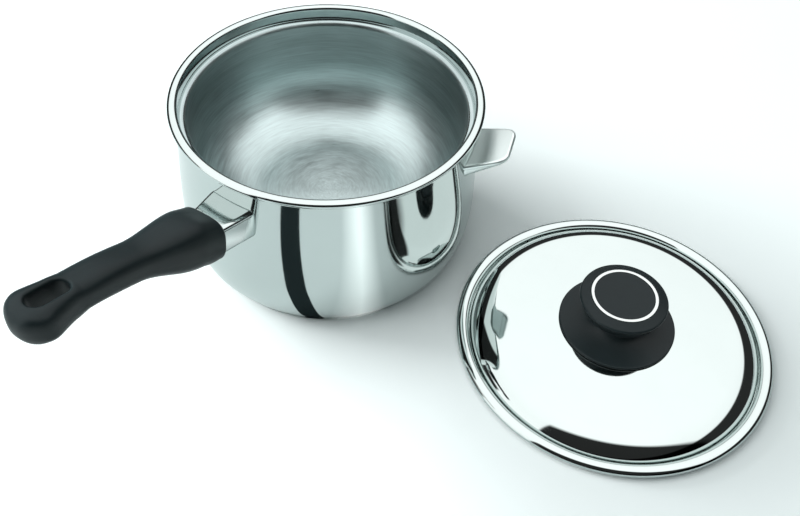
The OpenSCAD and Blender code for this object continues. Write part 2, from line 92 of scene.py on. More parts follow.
class PotSizes(PropertyGroup):
    """Sizes of the pot's steel sheet."""
    height: length("Height", "From the hob to the top of the rim", 103.3)
    rim_r: length("Rim radius", "Outer radius of the rolled rim", 86)
    rim_roll_r: length("Rim roll", "Outer radius of the roll, seen in section", 1.95)
    shell_t: length("Shell thickness", "Sheet thickness of the outer shell", 0.8)
    belly_out: length("Swell", "How far the body swells beyond the wall under the rim", 2.4)
    belly_z: length("Swell height", "Height of the widest part of the body", 37)
    base_r: length("Base radius", "Radius of the sandwich base", 75.3)
    base_h: length("Base height", "Thickness of the sandwich base", 5)
    cap_t: length("Cap thickness", "Sheet thickness of the cap round the base", 0.8)
    cap_edge_r: length("Cap edge", "Rounding of the cap's lower edge", 1.2)
    liner_t: length("Vessel thickness", "Sheet thickness of the inner vessel", 0.8)
    seat_depth: length("Ledge depth", "Depth of the ledge below the top of the rim", 7.9)
    ledge_w: length("Ledge width", "From the wall of the rim to the inner vessel's wall", 5.7)
    lip_r: length("Lip radius", "Turn between the ledge and the inner vessel's wall", 3.4)
    liner_corner_r: length("Vessel corner", "Curve between the inner wall and the floor", 38)
    jacket_depth: length("Water depth", "Depth of the water space under the inner vessel", 22.4)


class SpoutSizes(PropertyGroup):
    """Sizes of the filler spout."""
    azimuth: angle("Direction", "Direction of the spout, turned from +X towards +Y", -73)
    drop: length("Drop", "From the top of the rim to the hood, at the wall", 16.2)
    tilt: angle("Slope", "Slope of the hood, rising outward", 21)
    hood_l: length("Hood length", "Length of the hood along its slope", 21.5)
    hood_w: length("Hood width", "Width of the hood at the wall", 33.2)
    hood_tip_w: length("Hood tip width", "Width of the hood at its outer edge", 27)
    hood_corner_r: length("Hood corners", "Corner radius of the hood's outer edge", 7)
    hood_t: length("Hood thickness", "Sheet thickness of the hood", 1)
    hood_lip: length("Hood lip", "Depth of the lip turned down round the hood", 2.2)
    hood_bend_r: length("Hood bend", "Outer radius of the bend between hood and lip", 1.25)
    hood_crown: length("Hood crown", "How far the middle of the hood rises", 0.22)
    trough_in: length("Trough inset", "How far the trough's sides lie inside the hood's", 1.5)
    trough_depth: length("Trough depth", "Depth of the trough at the wall", 6.4)
    trough_tip_depth: length("Trough tip depth", "Depth of the trough at its open end", 3.6)
    trough_l: length("Trough length", "Length of the trough along the hood", 16.5)
    trough_t: length("Trough thickness", "Sheet thickness of the trough", 0.8)
    trough_corner_r: length("Trough corners", "Radius of the trough's two lower corners", 2.2)


class HandleSizes(PropertyGroup):
    """Sizes of the guard and the grip."""
    guard_drop: length("Guard drop", "From the top of the rim to the guard's top", 16)
    guard_h: length("Guard height", "Height of the guard", 17.4)
    guard_w: length("Guard width", "Width of the guard at the wall", 27.7)
    guard_tip_w: length("Guard tip width", "Width of the guard at the grip", 21.3)
    guard_l: length("Guard length", "Length of the guard along its slope", 19.5)
    guard_tilt: angle("Guard slope", "Slope of the guard, rising outward", 7)
    guard_t: length("Guard thickness", "Sheet thickness of the guard", 1.2)
    guard_corner_r: length("Guard corners", "Corner radius of the guard's section", 2.6)
    guard_crown: length("Guard crown", "How far the middle of each side bulges", 0.2)
    grip_lift: length("Grip lift", "Height of the grip's front above the guard's middle", 0.6)
    grip_run: length("Grip length", "Level length of the grip", 107.7)
    grip_rise: length("Grip rise", "Rise from the grip's front to its end", 37.5)
    start_slope: angle("Front slope", "Slope of the grip's middle line at the front", 26)
    end_slope: angle("End slope", "Slope of the grip's middle line at the end", 1.5)
    front_w: length("Front half width", "Half width at the front", 14)
    waist_w: length("Waist half width", "Half width at the waist", 9.6)
    end_w: length("End half width", "Half width at the end", 13.3)
    front_h: length("Front half height", "Half height at the front", 13.6)
    waist_h: length("Waist half height", "Half height at the waist", 8.1)
    end_h: length("End half height", "Half height at the end", 9.6)
    tip_l: length("Rounded end", "Length over which the end is rounded", 13)
    front_round: length("Front rounding", "Rounding round the front face", 1.4)
    slot_l: length("Slot length", "Length of the hanging slot", 20)
    slot_w: length("Slot width", "Width of the hanging slot", 9.6)
    slot_back: length("Slot place", "From the slot's middle to the end of the grip", 18.8)
    slot_rim_r: length("Slot rim", "Rounding of the slot's rims", 1.3)
    screw_reach: length("Screw reach", "From the pot's wall to the handle's screw", 28.5)
    screw_seat: length("Screw seat", "From the tongue's middle down to the screw's seat", 7)
    tongue_tilt: angle("Tongue slope", "Slope of the tongue inside the grip", 14)
    pocket_r: length("Pocket radius", "Radius of the pocket for the screw's head", 4.6)
    pocket_rim_r: length("Pocket rim", "Rounding of the pocket's rim", 0.6)


class LidSizes(PropertyGroup):
    """Sizes of the lid's steel sheet."""
    thickness: length("Thickness", "Sheet thickness of the lid", 0.8)
    overhang: length("Overhang", "How far the lid's edge reaches beyond the rim", 1.5)
    roll_r: length("Edge roll", "Outer radius of the rolled edge, seen in section", 1.8)
    drop: length("Groove drop", "How far the locating groove reaches below the edge", 3.4)
    groove_r: length("Groove radius", "Half the inner width of the locating groove", 0.4)
    clearance: length("Groove clearance", "Gap between the groove and the rim's wall", 0.6)
    bend_r: length("Flange bend", "Inner radius of the bend between groove and flange", 0.8)
    height: length("Height", "Height of the steel at the middle", 15.5)
    shoulder_r: length("Shoulder", "Radius of the shoulder round the dome", 3.5)
    shoulder_z: length("Shoulder height", "Height of the shoulder's centre", 7.5)
    hole_r: length("Hole", "Radius of the hole for the knob's screw", 2.3)


class KnobSizes(PropertyGroup):
    """Sizes of the knob, stacked on the middle of the lid."""
    skirt_r: length("Skirt radius", "Radius of the skirt", 31.7)
    skirt_edge: length("Skirt edge", "Thickness of the skirt's edge", 1.6)
    skirt_h: length("Skirt height", "Height of the skirt's top above the lid", 7.5)
    skirt_top_r: length("Skirt top", "Radius of the skirt's top", 15)
    seat_gap: length("Seat gap", "Gap between the skirt and the dome", 0.1)
    waist_r: length("Waist", "Radius of the waist", 14.2)
    knob_r: length("Knob radius", "Largest radius of the knob", 23.7)
    knob_h: length("Knob height", "Height of the knob above the lid", 23.2)
    cap_h: length("Cap height", "Height of the part that the hand holds", 10)
    edge_r: length("Edge rounding", "Rounding of the knob's edges", 1.5)
    draw_in: length("Draw-in", "How far the side is drawn in at its lower edge", 2.4)
    top_fall: length("Top fall", "Fall of the top from the ring to its edge", 1.6)
    ring_r: length("Ring radius", "Outer radius of the steel ring", 18)
    ring_w: length("Ring width", "Width of the steel ring", 1.9)
    ring_proud: length("Ring height", "How far the steel ring stands proud", 0.35)
    inlay_depth: length("Inlay depth", "Depth of the seat for the ring and the disc", 1.8)
    insert_r: length("Insert radius", "Radius of the threaded insert's seat", 4.05)
    insert_l: length("Insert length", "Depth of the threaded insert's seat", 10.35)


class ScrewSizes(PropertyGroup):
    """Sizes of both screws."""
    shank_r: length("Shank", "Radius of the shank", 2)
    head_r: length("Head radius", "Radius of the head", 3.8)
    head_h: length("Head height", "Height of the head", 2.5)
    edge_r: length("Head edge", "Rounding of the head's edge", 1.1)
    cross_half: length("Cross width", "Half width of the cross recess", 0.45)
    cross_reach: length("Cross reach", "Reach of the cross recess from the middle", 2.1)
    cross_depth: length("Cross depth", "Depth of the cross recess", 1.3)


class Finishes(PropertyGroup):
    """Colours and surface qualities."""
    mirror: colour("Polished steel", "Colour of the mirror-polished sheet", 0.56, 0.62, 0.61)
    brushed: colour("Brushed steel", "Colour of the brushed inner vessel", 0.60, 0.71, 0.71)
    satin: colour("Satin steel", "Colour of the base cap and the bracket", 0.55, 0.59, 0.58)
    ring: colour("Ring", "Colour of the knob's polished ring", 0.62, 0.66, 0.65)
    phenolic: colour("Phenolic", "Colour of the moulded grip and knob", 0.0145, 0.0215, 0.0235)
    brass: colour("Brass", "Colour of the threaded inserts", 0.66, 0.47, 0.17)
    zinc: colour("Zinc", "Colour of the screws and washers", 0.53, 0.55, 0.56)
    aluminium: colour("Aluminium", "Colour of the heat spreader", 0.72, 0.74, 0.75)
    mirror_roughness: share("Mirror roughness", "Roughness of the polished sheet", 0.045)
    brushed_roughness: share("Brushed roughness", "Roughness of the brushed vessel", 0.33)
    satin_roughness: share("Satin roughness", "Roughness of the satin steel", 0.28)
    phenolic_roughness: share("Phenolic roughness", "Roughness of the moulded parts", 0.42)
    ledge_roughness: share("Ledge roughness", "Roughness of the polished ledge and its lip", 0.10)


class StudioValues(PropertyGroup):
    """Camera, floor and light. Places are in the view's frame: +Y runs away from the camera."""
    turn: angle("Turn", "Turn of the view's frame against the pot's", -59.1)
    camera_x: length("Camera X", "Camera's place across the view", 42.24)
    camera_y: length("Camera Y", "Camera's place along the view", -403.12)
    camera_z: length("Camera Z", "Camera's height above the hob", 429.67)
    pitch: angle("Pitch", "How far the camera looks down", 45.235)
    roll: angle("Roll", "Turn of the picture", 2.991)
    lens: FloatProperty(name="Lens", description="Focal length", default=42.75, unit="CAMERA")
    shift_y: FloatProperty(name="Shift", description="Upward shift of the frame", default=-0.0725)
    surround: colour("Surround", "Even light from all round", 0.13, 0.16, 0.16)
    overhead: share("Overhead light", "Share of the floor's white that comes from above", 0.35)
    side: share("Side light", "Share of the floor's white that comes from the left", 0.20)
    low: share("Low light", "Share of the floor's white that comes low from the left", 0.45)
    sky: share("Mirrored light", "Brightness of the light that metal mirrors", 1.7)


# Shapes as arrays

SHARP = math.radians(38)
FULL_TURN = 2*math.pi
AXIS_NEAR = 1e-9


def ease(u):
    """Smooth step: 3u² - 2u³, with u held between 0 and 1."""
    u = np.clip(u, 0, 1)
    return u*u*(3 - 2*u)


def arc(x, y, a, b, start, end, step):
    """Points (x + a cos t, y + b sin t), with t from start to end in degrees."""
    count = int(math.ceil(abs(end - start)/step)) + 1
    t = np.radians(np.linspace(start, end, max(count, 3)))
    return np.column_stack([x + a*np.cos(t), y + b*np.sin(t)])


def circle(x, y, radius, start, end, step):
    """The same for a circle."""
    return arc(x, y, radius, radius, start, end, step)


def straight(start, end, count):
    """Evenly spaced points from start to end."""
    return np.linspace(start, end, count)


def joined(*runs):
    """Runs of points one after another, with repeated points left out."""
    points = np.vstack(runs)
    steps = np.linalg.norm(np.diff(points, axis=0), axis=1)
    return points[np.r_[True, steps > AXIS_NEAR]]


def turned(profile, angles, centre=(0, 0)):
    """Grid of points (r cos a, r sin a, z) about centre, for profile points (r, z) and angles a."""
    r, z = profile[:, :1], profile[:, 1:]
    return np.stack([centre[0] + r*np.cos(angles), centre[1] + r*np.sin(angles),
                     z + np.zeros_like(angles)], axis=-1)


def whole_turn(count):
    """Angles once round, without the last, which is the first again."""
    return np.linspace(0, FULL_TURN, count, endpoint=False)


def numbered(grid, single=()):
    """Numbers of a grid's points, row by row; each row listed in single is one point."""
    index = np.arange(grid[..., 0].size).reshape(grid.shape[:-1])
    for row in single:
        index[row] = index[row, 0]
    return index


def cells(index, close_rows=False, close_columns=False):
    """Four-cornered faces between neighbouring rows and columns of a grid of point numbers."""
    if close_rows:
        index = np.vstack([index, index[:1]])
    if close_columns:
        index = np.hstack([index, index[:, :1]])
    corners = [index[:-1, :-1], index[:-1, 1:], index[1:, 1:], index[1:, :-1]]
    return np.stack(corners, axis=-1).reshape(-1, 4)


def without_repeats(quads):
    """Faces as lists: a quad that has one edge of no length becomes a triangle."""
    low = quads[:, 0] == quads[:, 1]
    high = quads[:, 2] == quads[:, 3]
    left = (quads[:, 0] == quads[:, 3]) & ~low & ~high
    right = (quads[:, 1] == quads[:, 2]) & ~low & ~high
    plain = ~(low | high | left | right)
    return (quads[plain].tolist() + quads[low & ~high][:, 1:].tolist()
            + quads[high & ~low][:, :3].tolist() + quads[left][:, :3].tolist()
            + quads[right][:, [0, 1, 3]].tolist())


def revolved(profile, centre=(0, 0), sides=192, loop=False):
    """Points and faces of a profile turned once round the axis; its ends may lie on the axis."""
    grid = turned(profile, whole_turn(sides), centre)
    index = numbered(grid, np.flatnonzero(profile[:, 0] < AXIS_NEAR))
    return grid.reshape(-1, 3), without_repeats(cells(index, loop, True))


def compacted(points, faces):
    """The same shape without points that no face uses."""
    used = np.unique(np.concatenate([np.ravel(face) for face in faces]))
    number = np.full(len(points), -1)
    number[used] = np.arange(len(used))
    return points[used], [[int(number[corner]) for corner in face] for face in faces]


def signed_volume(mesh):
    """A sixth of the sum of a · (b × c) over the triangles: negative if they face inward."""
    mesh.calc_loop_triangles()
    corners = np.empty(3*len(mesh.loop_triangles), np.int32)
    mesh.loop_triangles.foreach_get("vertices", corners)
    places = np.empty(3*len(mesh.vertices), np.float32)
    mesh.vertices.foreach_get("co", places)
    a, b, c = places.astype(float).reshape(-1, 3)[corners.reshape(-1, 3)].transpose(1, 0, 2)
    return float(np.sum(a*np.cross(b, c)))/6


def centre_of(node):
    """Middle of a solid's box, seen from above."""
    low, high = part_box(node)
    return (low.x + high.x)/2, (low.y + high.y)/2


def dressed(piece, look, body, node):
    """Gives a piece its finish and the body that it rides on, and hides the solid that it stands for.
    """
    piece.data.materials.clear()
    piece.data.materials.append(look)
    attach(piece, body)
    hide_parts(node)
    return piece


def new_mesh(name, points, faces):
    """An object at the origin whose mesh holds the points in place."""
    points, faces = compacted(np.asarray(points, float), faces)
    mesh = bpy.data.meshes.new(name)
    mesh.from_pydata(points.tolist(), [], faces)
    piece = bpy.data.objects.new(name, mesh)
    bpy.context.scene.collection.objects.link(piece)
    return piece


def settled(piece):
    """Turns the mesh's faces outward and smooths them, apart from edges sharper than SHARP."""
    mesh = piece.data
    if signed_volume(mesh) < 0:
        mesh.flip_normals()
    mesh.shade_smooth()
    mesh.set_sharp_from_angle(angle=SHARP)
    return piece


def add_piece(name, shape, look, body, node):
    """Makes a piece of a closed shape, which is its points and its faces."""
    return dressed(settled(new_mesh(name, *shape)), look, body, node)


def with_thickness(piece, thickness, edge):
    """An open sheet as a closed one: thickness is added behind its faces, edges are bevelled."""
    wall = piece.modifiers.new("thickness", "SOLIDIFY")
    wall.thickness = thickness
    wall.offset = -1
    wall.use_even_offset = True
    bevel = piece.modifiers.new("edge", "BEVEL")
    bevel.width = edge
    bevel.segments = 2
    bevel.limit_method = "ANGLE"
    bevel.angle_limit = SHARP
    graph = bpy.context.evaluated_depsgraph_get()
    sheet = piece.data
    piece.data = bpy.data.meshes.new_from_object(piece.evaluated_get(graph))
    piece.modifiers.clear()
    bpy.data.meshes.remove(sheet)
    piece.data.name = piece.name
    return piece


def sheet_piece(name, points, faces, thickness, edge):
    """An open sheet given its thickness and closed."""
    return settled(with_thickness(new_mesh(name, points, faces.tolist()), thickness, edge))


# Pot

FOOT_STEP = 0.3*MM
CURL_END = -110
WALL_ROWS = 30
WINDOW_ROWS = 5
WINDOW_COLUMNS = 17
SHELL_SIDES = 320
VESSEL_SIDES = 256
WELD_SINK = 0.25*MM
RIM_SHIFT = 1.0*MM
RIM_WIDER = 1.3*MM
LEDGE_FALL = 40
LEDGE_GAP = 0.02*MM
WINDOW_DROP = 0.3*MM
CAP_BEVEL = 0.2*MM
LINE_TRIES = 16
SECTION_TRIES = 4


class Wall:
    """The outer shell's radii and heights, and its radius at any height above the swell."""

    def __init__(self, pot):
        self.seat_r = pot.rim_r - 2*pot.rim_roll_r
        self.neck_r = self.seat_r + pot.shell_t
        self.belly_r = self.neck_r + pot.belly_out
        self.foot_r = pot.base_r + FOOT_STEP
        self.roll_z = pot.height - pot.rim_roll_r
        self.ledge_z = pot.height - pot.seat_depth
        self.belly_z = pot.belly_z
        self.belly_out = pot.belly_out

    def radius(self, z):
        """Drawn in from the swell to the neck by a smooth step of the height."""
        rise = (z - self.belly_z)/(self.ledge_z - self.belly_z)
        return self.belly_r - self.belly_out*ease(rise)


class Branch:
    """The frame of something welded to the wall: +X runs outward from the wall, up by a tilt."""

    def __init__(self, wall, azimuth, tilt, height):
        self.wall = wall
        self.height = height
        self.root = float(wall.radius(height))
        self.cos_tilt, self.sin_tilt = math.cos(tilt), math.sin(tilt)
        self.cos_turn, self.sin_turn = math.cos(azimuth), math.sin(azimuth)

    def upright(self, x, z):
        """Distance from the pot's axis and height of a point in the branch's middle plane."""
        return (self.root + x*self.cos_tilt - z*self.sin_tilt,
                self.height + x*self.sin_tilt + z*self.cos_tilt)

    def placed(self, x, y, z):
        """Points in the pot's frame."""
        out, up = self.upright(x, z)
        return np.stack([out*self.cos_turn - y*self.sin_turn,
                         out*self.sin_turn + y*self.cos_turn, up + np.zeros_like(y)], axis=-1)

    def meeting(self, y, z, sink=WELD_SINK):
        """The x at which a line along the branch at (y, z) goes sink deep into the wall."""
        x = np.zeros(np.broadcast(y, z).shape)
        for _ in range(LINE_TRIES):
            out, up = self.upright(x, z)
            x = x + (self.wall.radius(up) - sink - np.hypot(out, y))/self.cos_tilt
        return x

    def start(self, section, count, sink=WELD_SINK):
        """The x at which each of a section's lines goes into the wall. Where the lines lie
        depends on x, so the answer is put back into the section a few times."""
        x = np.zeros(count)
        for _ in range(SECTION_TRIES):
            x = self.meeting(*section(x), sink)
        return x


def spout_branch(pot, spout):
    """The spout's frame on the wall."""
    return Branch(Wall(pot), spout.azimuth, spout.tilt, pot.height - spout.drop)


def guard_branch(pot, handle):
    """The guard's frame on the wall."""
    height = pot.height - handle.guard_drop - handle.guard_h/2
    return Branch(Wall(pot), math.pi, handle.guard_tilt, height)


def shell_piece(pot, spout):
    """The outer shell: a profile that runs out along the floor, up the wall, round the curled rim
    and back down the inside, turned round the axis, with the spout's window left open. The rim is
    a circle below and quarters of two wider ellipses above, so that its crest lies further in."""
    wall = Wall(pot)
    branch = spout_branch(pot, spout)
    half = spout.hood_w/2 - spout.trough_in - spout.trough_t
    side = math.asin(half/branch.root)
    top = branch.upright(0.0, -spout.hood_t)[1] - WINDOW_DROP
    low = branch.upright(0.0, spout.trough_t - spout.hood_t - spout.trough_depth)[1]
    window = np.linspace(low, top, WINDOW_ROWS)
    heights = np.unique(np.r_[np.linspace(wall.belly_z, wall.ledge_z, WALL_ROWS), window])

    def foot(inset):
        """From the base's edge out and up to the swell, as a quarter of an ellipse."""
        return arc(wall.foot_r, wall.belly_z, wall.belly_r - wall.foot_r - inset,
                   wall.belly_z - pot.base_h - inset, -90, 0, 3.5)

    def side_run(inset):
        """The wall above the swell."""
        return np.column_stack([wall.radius(heights) - inset, heights])

    roll_x = wall.seat_r + pot.rim_roll_r
    roll_in = pot.rim_roll_r - pot.shell_t
    crest_x = roll_x - RIM_SHIFT
    neck_x = wall.seat_r - RIM_WIDER
    outside = joined([[0, pot.base_h]], straight((wall.foot_r/2, pot.base_h),
                                                 (wall.foot_r, pot.base_h), 3),
                     foot(0), side_run(0))
    rim = joined(circle(roll_x, wall.roll_z, roll_in, 180, CURL_END, 12),
                 circle(roll_x, wall.roll_z, pot.rim_roll_r, CURL_END, 0, 6),
                 arc(crest_x, wall.roll_z, pot.rim_roll_r + RIM_SHIFT, pot.rim_roll_r, 0, 90, 4),
                 arc(crest_x, wall.roll_z, crest_x - neck_x, pot.rim_roll_r, 90, 180, 4),
                 straight((neck_x, wall.roll_z), (neck_x, wall.ledge_z - RIM_WIDER), 3))
    inside = joined(side_run(pot.shell_t)[::-1], foot(pot.shell_t)[::-1],
                    [[wall.foot_r/2, pot.base_h + pot.shell_t], [0, pot.base_h + pot.shell_t]])
    profile = joined(outside, rim, inside)

    azimuths = np.r_[np.linspace(spout.azimuth - side, spout.azimuth + side, WINDOW_COLUMNS),
                     np.linspace(spout.azimuth + side, spout.azimuth - side + FULL_TURN,
                                 SHELL_SIDES)[1:-1]]
    grid = turned(profile, azimuths)
    index = numbered(grid, [0, -1])

    split = len(outside)
    row_z = profile[:, 1]
    on_window = (row_z > low - AXIS_NEAR) & (row_z < top + AXIS_NEAR) & (
        profile[:, 0] > pot.base_r)
    outer_rows = np.flatnonzero(on_window[:split])
    inner_rows = np.flatnonzero(on_window[split:])[::-1] + split
    keep = np.ones((len(profile) - 1, len(azimuths)), bool)
    keep[outer_rows[0]:outer_rows[-1], :WINDOW_COLUMNS - 1] = False
    keep[inner_rows[-1]:inner_rows[0], :WINDOW_COLUMNS - 1] = False
    skin = cells(index, close_columns=True)[keep.ravel()]
    columns = np.arange(WINDOW_COLUMNS)
    frame_faces = [
        cells(index[np.ix_([outer_rows[0], inner_rows[0]], columns)]),
        cells(index[np.ix_([inner_rows[-1], outer_rows[-1]], columns)]),
        cells(np.vstack([index[inner_rows, 0], index[outer_rows, 0]])),
        cells(np.vstack([index[outer_rows, columns[-1]], index[inner_rows, columns[-1]]]))]
    return grid.reshape(-1, 3), without_repeats(np.vstack([skin, *frame_faces]))


def vessel_profile(pot):
    """Floor, corner, wall, lip and ledge of the inner vessel, and back along the water side. The
    ledge falls steeply towards the rim, by LEDGE_FALL degrees."""
    wall = Wall(pot)
    liner_r = wall.seat_r - pot.ledge_w
    floor_z = pot.base_h + pot.shell_t + pot.jacket_depth + pot.liner_t
    corner = (liner_r - pot.liner_corner_r, floor_z + pot.liner_corner_r)
    lip = (liner_r + pot.lip_r, wall.ledge_z - pot.lip_r)
    back_r = pot.liner_corner_r + pot.liner_t
    lip_in = pot.lip_r - pot.liner_t
    edge_x = wall.seat_r - LEDGE_GAP
    fall = math.radians(LEDGE_FALL)
    start_x = lip[0] + pot.lip_r*math.sin(fall)
    edge_z = lip[1] + pot.lip_r*math.cos(fall) - (edge_x - start_x)*math.tan(fall)
    return joined(straight((0, floor_z), (corner[0], floor_z), 6),
                  circle(*corner, pot.liner_corner_r, -90, 0, 4),
                  straight((liner_r, corner[1]), (liner_r, lip[1]), 6),
                  circle(*lip, pot.lip_r, 180, 90 - LEDGE_FALL, 6),
                  [[edge_x, edge_z], [edge_x, edge_z - pot.liner_t]],
                  circle(*lip, lip_in, 90 - LEDGE_FALL, 180, 12),
                  circle(*corner, back_r, 0, -90, 6),
                  [[0, floor_z - pot.liner_t]])


def cap_profile(pot):
    """The base's steel cap: flat underneath, rounded at the edge, up the side and back inside."""
    edge = pot.cap_edge_r
    inner_r = pot.base_r - pot.cap_t
    return joined(straight((0, 0), (pot.base_r - edge, 0), 8),
                  circle(pot.base_r - edge, edge, edge, -90, 0, 9),
                  [[pot.base_r, pot.base_h - CAP_BEVEL], [pot.base_r - CAP_BEVEL, pot.base_h],
                   [inner_r, pot.base_h], [inner_r, pot.cap_t], [0, pot.cap_t]])


# Filler spout

HOOD_EDGE = 0.15*MM
HOOD_COLUMNS = 33
HOOD_ROWS = 13
HOOD_CORNER_STEPS = 13
HOOD_FOLD_STEPS = 7
TROUGH_EDGE = 0.12*MM
TROUGH_SIDE = 4
TROUGH_CORNER = 8
TROUGH_MIDDLE = 7
TROUGH_ROWS = 16


def hood_taper(spout):
    """How much half the hood's width shrinks over its length."""
    return (spout.hood_w - spout.hood_tip_w)/2/spout.hood_l


def hood_half(spout, inset, x):
    """Half the hood's width at x, drawn in by inset at right angles to its side."""
    taper = hood_taper(spout)
    return spout.hood_w/2 - taper*x - inset*math.sqrt(1 + taper*taper)


def hood_piece(pot, spout):
    """The hood: a plan with straight tapered sides and round outer corners, slightly crowned, a
    bend round its free edges and a lip turned down. Rows run outward, columns across."""
    branch = spout_branch(pot, spout)
    taper = hood_taper(spout)
    bend = spout.hood_bend_r
    corner_x = spout.hood_l - spout.hood_corner_r
    corner_y = hood_half(spout, spout.hood_corner_r, corner_x)
    radius = spout.hood_corner_r - bend
    swing = np.linspace(math.pi/2 - math.atan(taper), 0, HOOD_CORNER_STEPS)
    round_u = corner_x + radius*np.cos(swing)
    round_w = corner_y + radius*np.sin(swing)

    across = np.linspace(1, -1, HOOD_COLUMNS)
    start = branch.start(lambda x: (across*hood_half(spout, bend, x), 0.0), len(across))
    part = np.linspace(0, 1, HOOD_ROWS + 1)[:-1, None]
    flat_u = start + (round_u[0] - start)*part
    u = np.vstack([flat_u, np.repeat(round_u[:, None], len(across), 1)])
    v = np.vstack([across*hood_half(spout, bend, flat_u), round_w[:, None]*across])
    crown = spout.hood_crown*(1 - across**2)*(1 - (u/spout.hood_l)**2)
    top = branch.placed(u, v, crown)

    edge_u = np.r_[u[:, 0], u[-1, 1:-1], u[::-1, -1]]
    edge_v = np.r_[v[:, 0], v[-1, 1:-1], v[::-1, -1]]
    out = 1/math.sqrt(1 + taper*taper)
    normal_u = np.r_[np.full(len(part), taper*out), np.cos(swing)]
    normal_v = np.r_[np.full(len(part), out), np.sin(swing)]
    normal_u = np.r_[normal_u, np.ones(len(across) - 2), normal_u[::-1]]
    normal_v = np.r_[normal_v, np.zeros(len(across) - 2), -normal_v[::-1]]
    fold = np.radians(np.linspace(0, 90, HOOD_FOLD_STEPS)[1:, None])
    lip_u = edge_u + normal_u*bend*np.sin(fold)
    lip_v = edge_v + normal_v*bend*np.sin(fold)
    lip_z = -bend*(1 - np.cos(fold)) + np.zeros_like(lip_u)
    lip_u = np.vstack([lip_u, lip_u[-1:]])
    lip_v = np.vstack([lip_v, lip_v[-1:]])
    lip_z = np.vstack([lip_z, np.full_like(lip_z[-1:], -spout.hood_lip)])
    for end in (0, -1):
        lip_u[:, end] = branch.meeting(lip_v[:, end], lip_z[:, end])
    lip = branch.placed(lip_u, lip_v, lip_z)

    index = numbered(top)
    edge = np.r_[index[:, 0], index[-1, 1:-1], index[::-1, -1]]
    below = index.size + numbered(lip)
    faces = np.vstack([cells(index), cells(np.vstack([edge, below]))])
    return np.vstack([top.reshape(-1, 3), lip.reshape(-1, 3)]), faces


def trough_piece(pot, spout):
    """The trough: a channel whose floor rises from the wall to the open end. Each column across
    is a share of the width and the depth, with a quarter circle in each lower corner."""
    branch = spout_branch(pot, spout)
    fall = (spout.trough_depth - spout.trough_tip_depth)/spout.trough_l
    corner = spout.trough_corner_r
    quarter = np.radians(np.linspace(0, 90, TROUGH_CORNER))
    side, middle = np.ones(TROUGH_SIDE), np.ones(TROUGH_MIDDLE)
    width_share = np.r_[side, np.ones(TROUGH_CORNER), np.linspace(1, 0, TROUGH_MIDDLE + 1)[1:]]
    round_y = np.r_[side, np.cos(quarter), 0*middle]
    round_z = np.r_[0*side, np.sin(quarter), middle]
    height_share = np.r_[np.linspace(1, 0, TROUGH_SIDE + 1)[:-1],
                         np.zeros(TROUGH_CORNER + TROUGH_MIDDLE)]

    def both(shares, sign):
        """Half a section's numbers, then those of its other half."""
        return np.r_[shares, sign*shares[-2::-1]]

    width_share, round_y = both(width_share, -1), both(round_y, -1)
    round_z, height_share = both(round_z, 1), both(height_share, 1)

    def channel(x):
        """The section at x: side, corner and floor, as (y, z)."""
        half = hood_half(spout, spout.trough_in, x)
        floor = fall*x - spout.hood_t - spout.trough_depth
        y = width_share*(half - corner) + corner*round_y
        z = (-height_share*spout.hood_t + (1 - height_share)*(floor + corner) - corner*round_z)
        return y, z

    start = branch.start(channel, len(width_share))
    x = start + (spout.trough_l - start)*np.linspace(0, 1, TROUGH_ROWS)[:, None]
    y, z = channel(x)
    grid = branch.placed(x, y, z)
    return grid.reshape(-1, 3), cells(numbered(grid))[:, ::-1]


# Handle

GUARD_EDGE = 0.5*MM
GUARD_CORNER_STEPS = 9
GUARD_SIDE_STEPS = 15
GUARD_FOOT_STEPS = 7
GUARD_ROWS = 16
GUARD_FOOT = 0.7*MM
CREST_POWER = 3.4
BELLY_POWER = 2.5
TURN_END = 0.2
UPRIGHT = (0.5, 0.7)
WAIST = (0.12, 0.44)
TAIL = (0.74, 0.95)
GRIP_STEP = 1.5*MM
GRIP_SIDES = 49
NOSE_STEPS = 8
TIP_STEPS = 26
SLOT_STEPS = 13
POCKET_STEPS = 11
POCKET_SEARCH = 600
OUTLINE_STEPS = 2001
POCKET_REACH = 0.3
FACE_RINGS = (0.86, 0.6, 0.3, 0.0)
ROW_NEAR = 1e-7


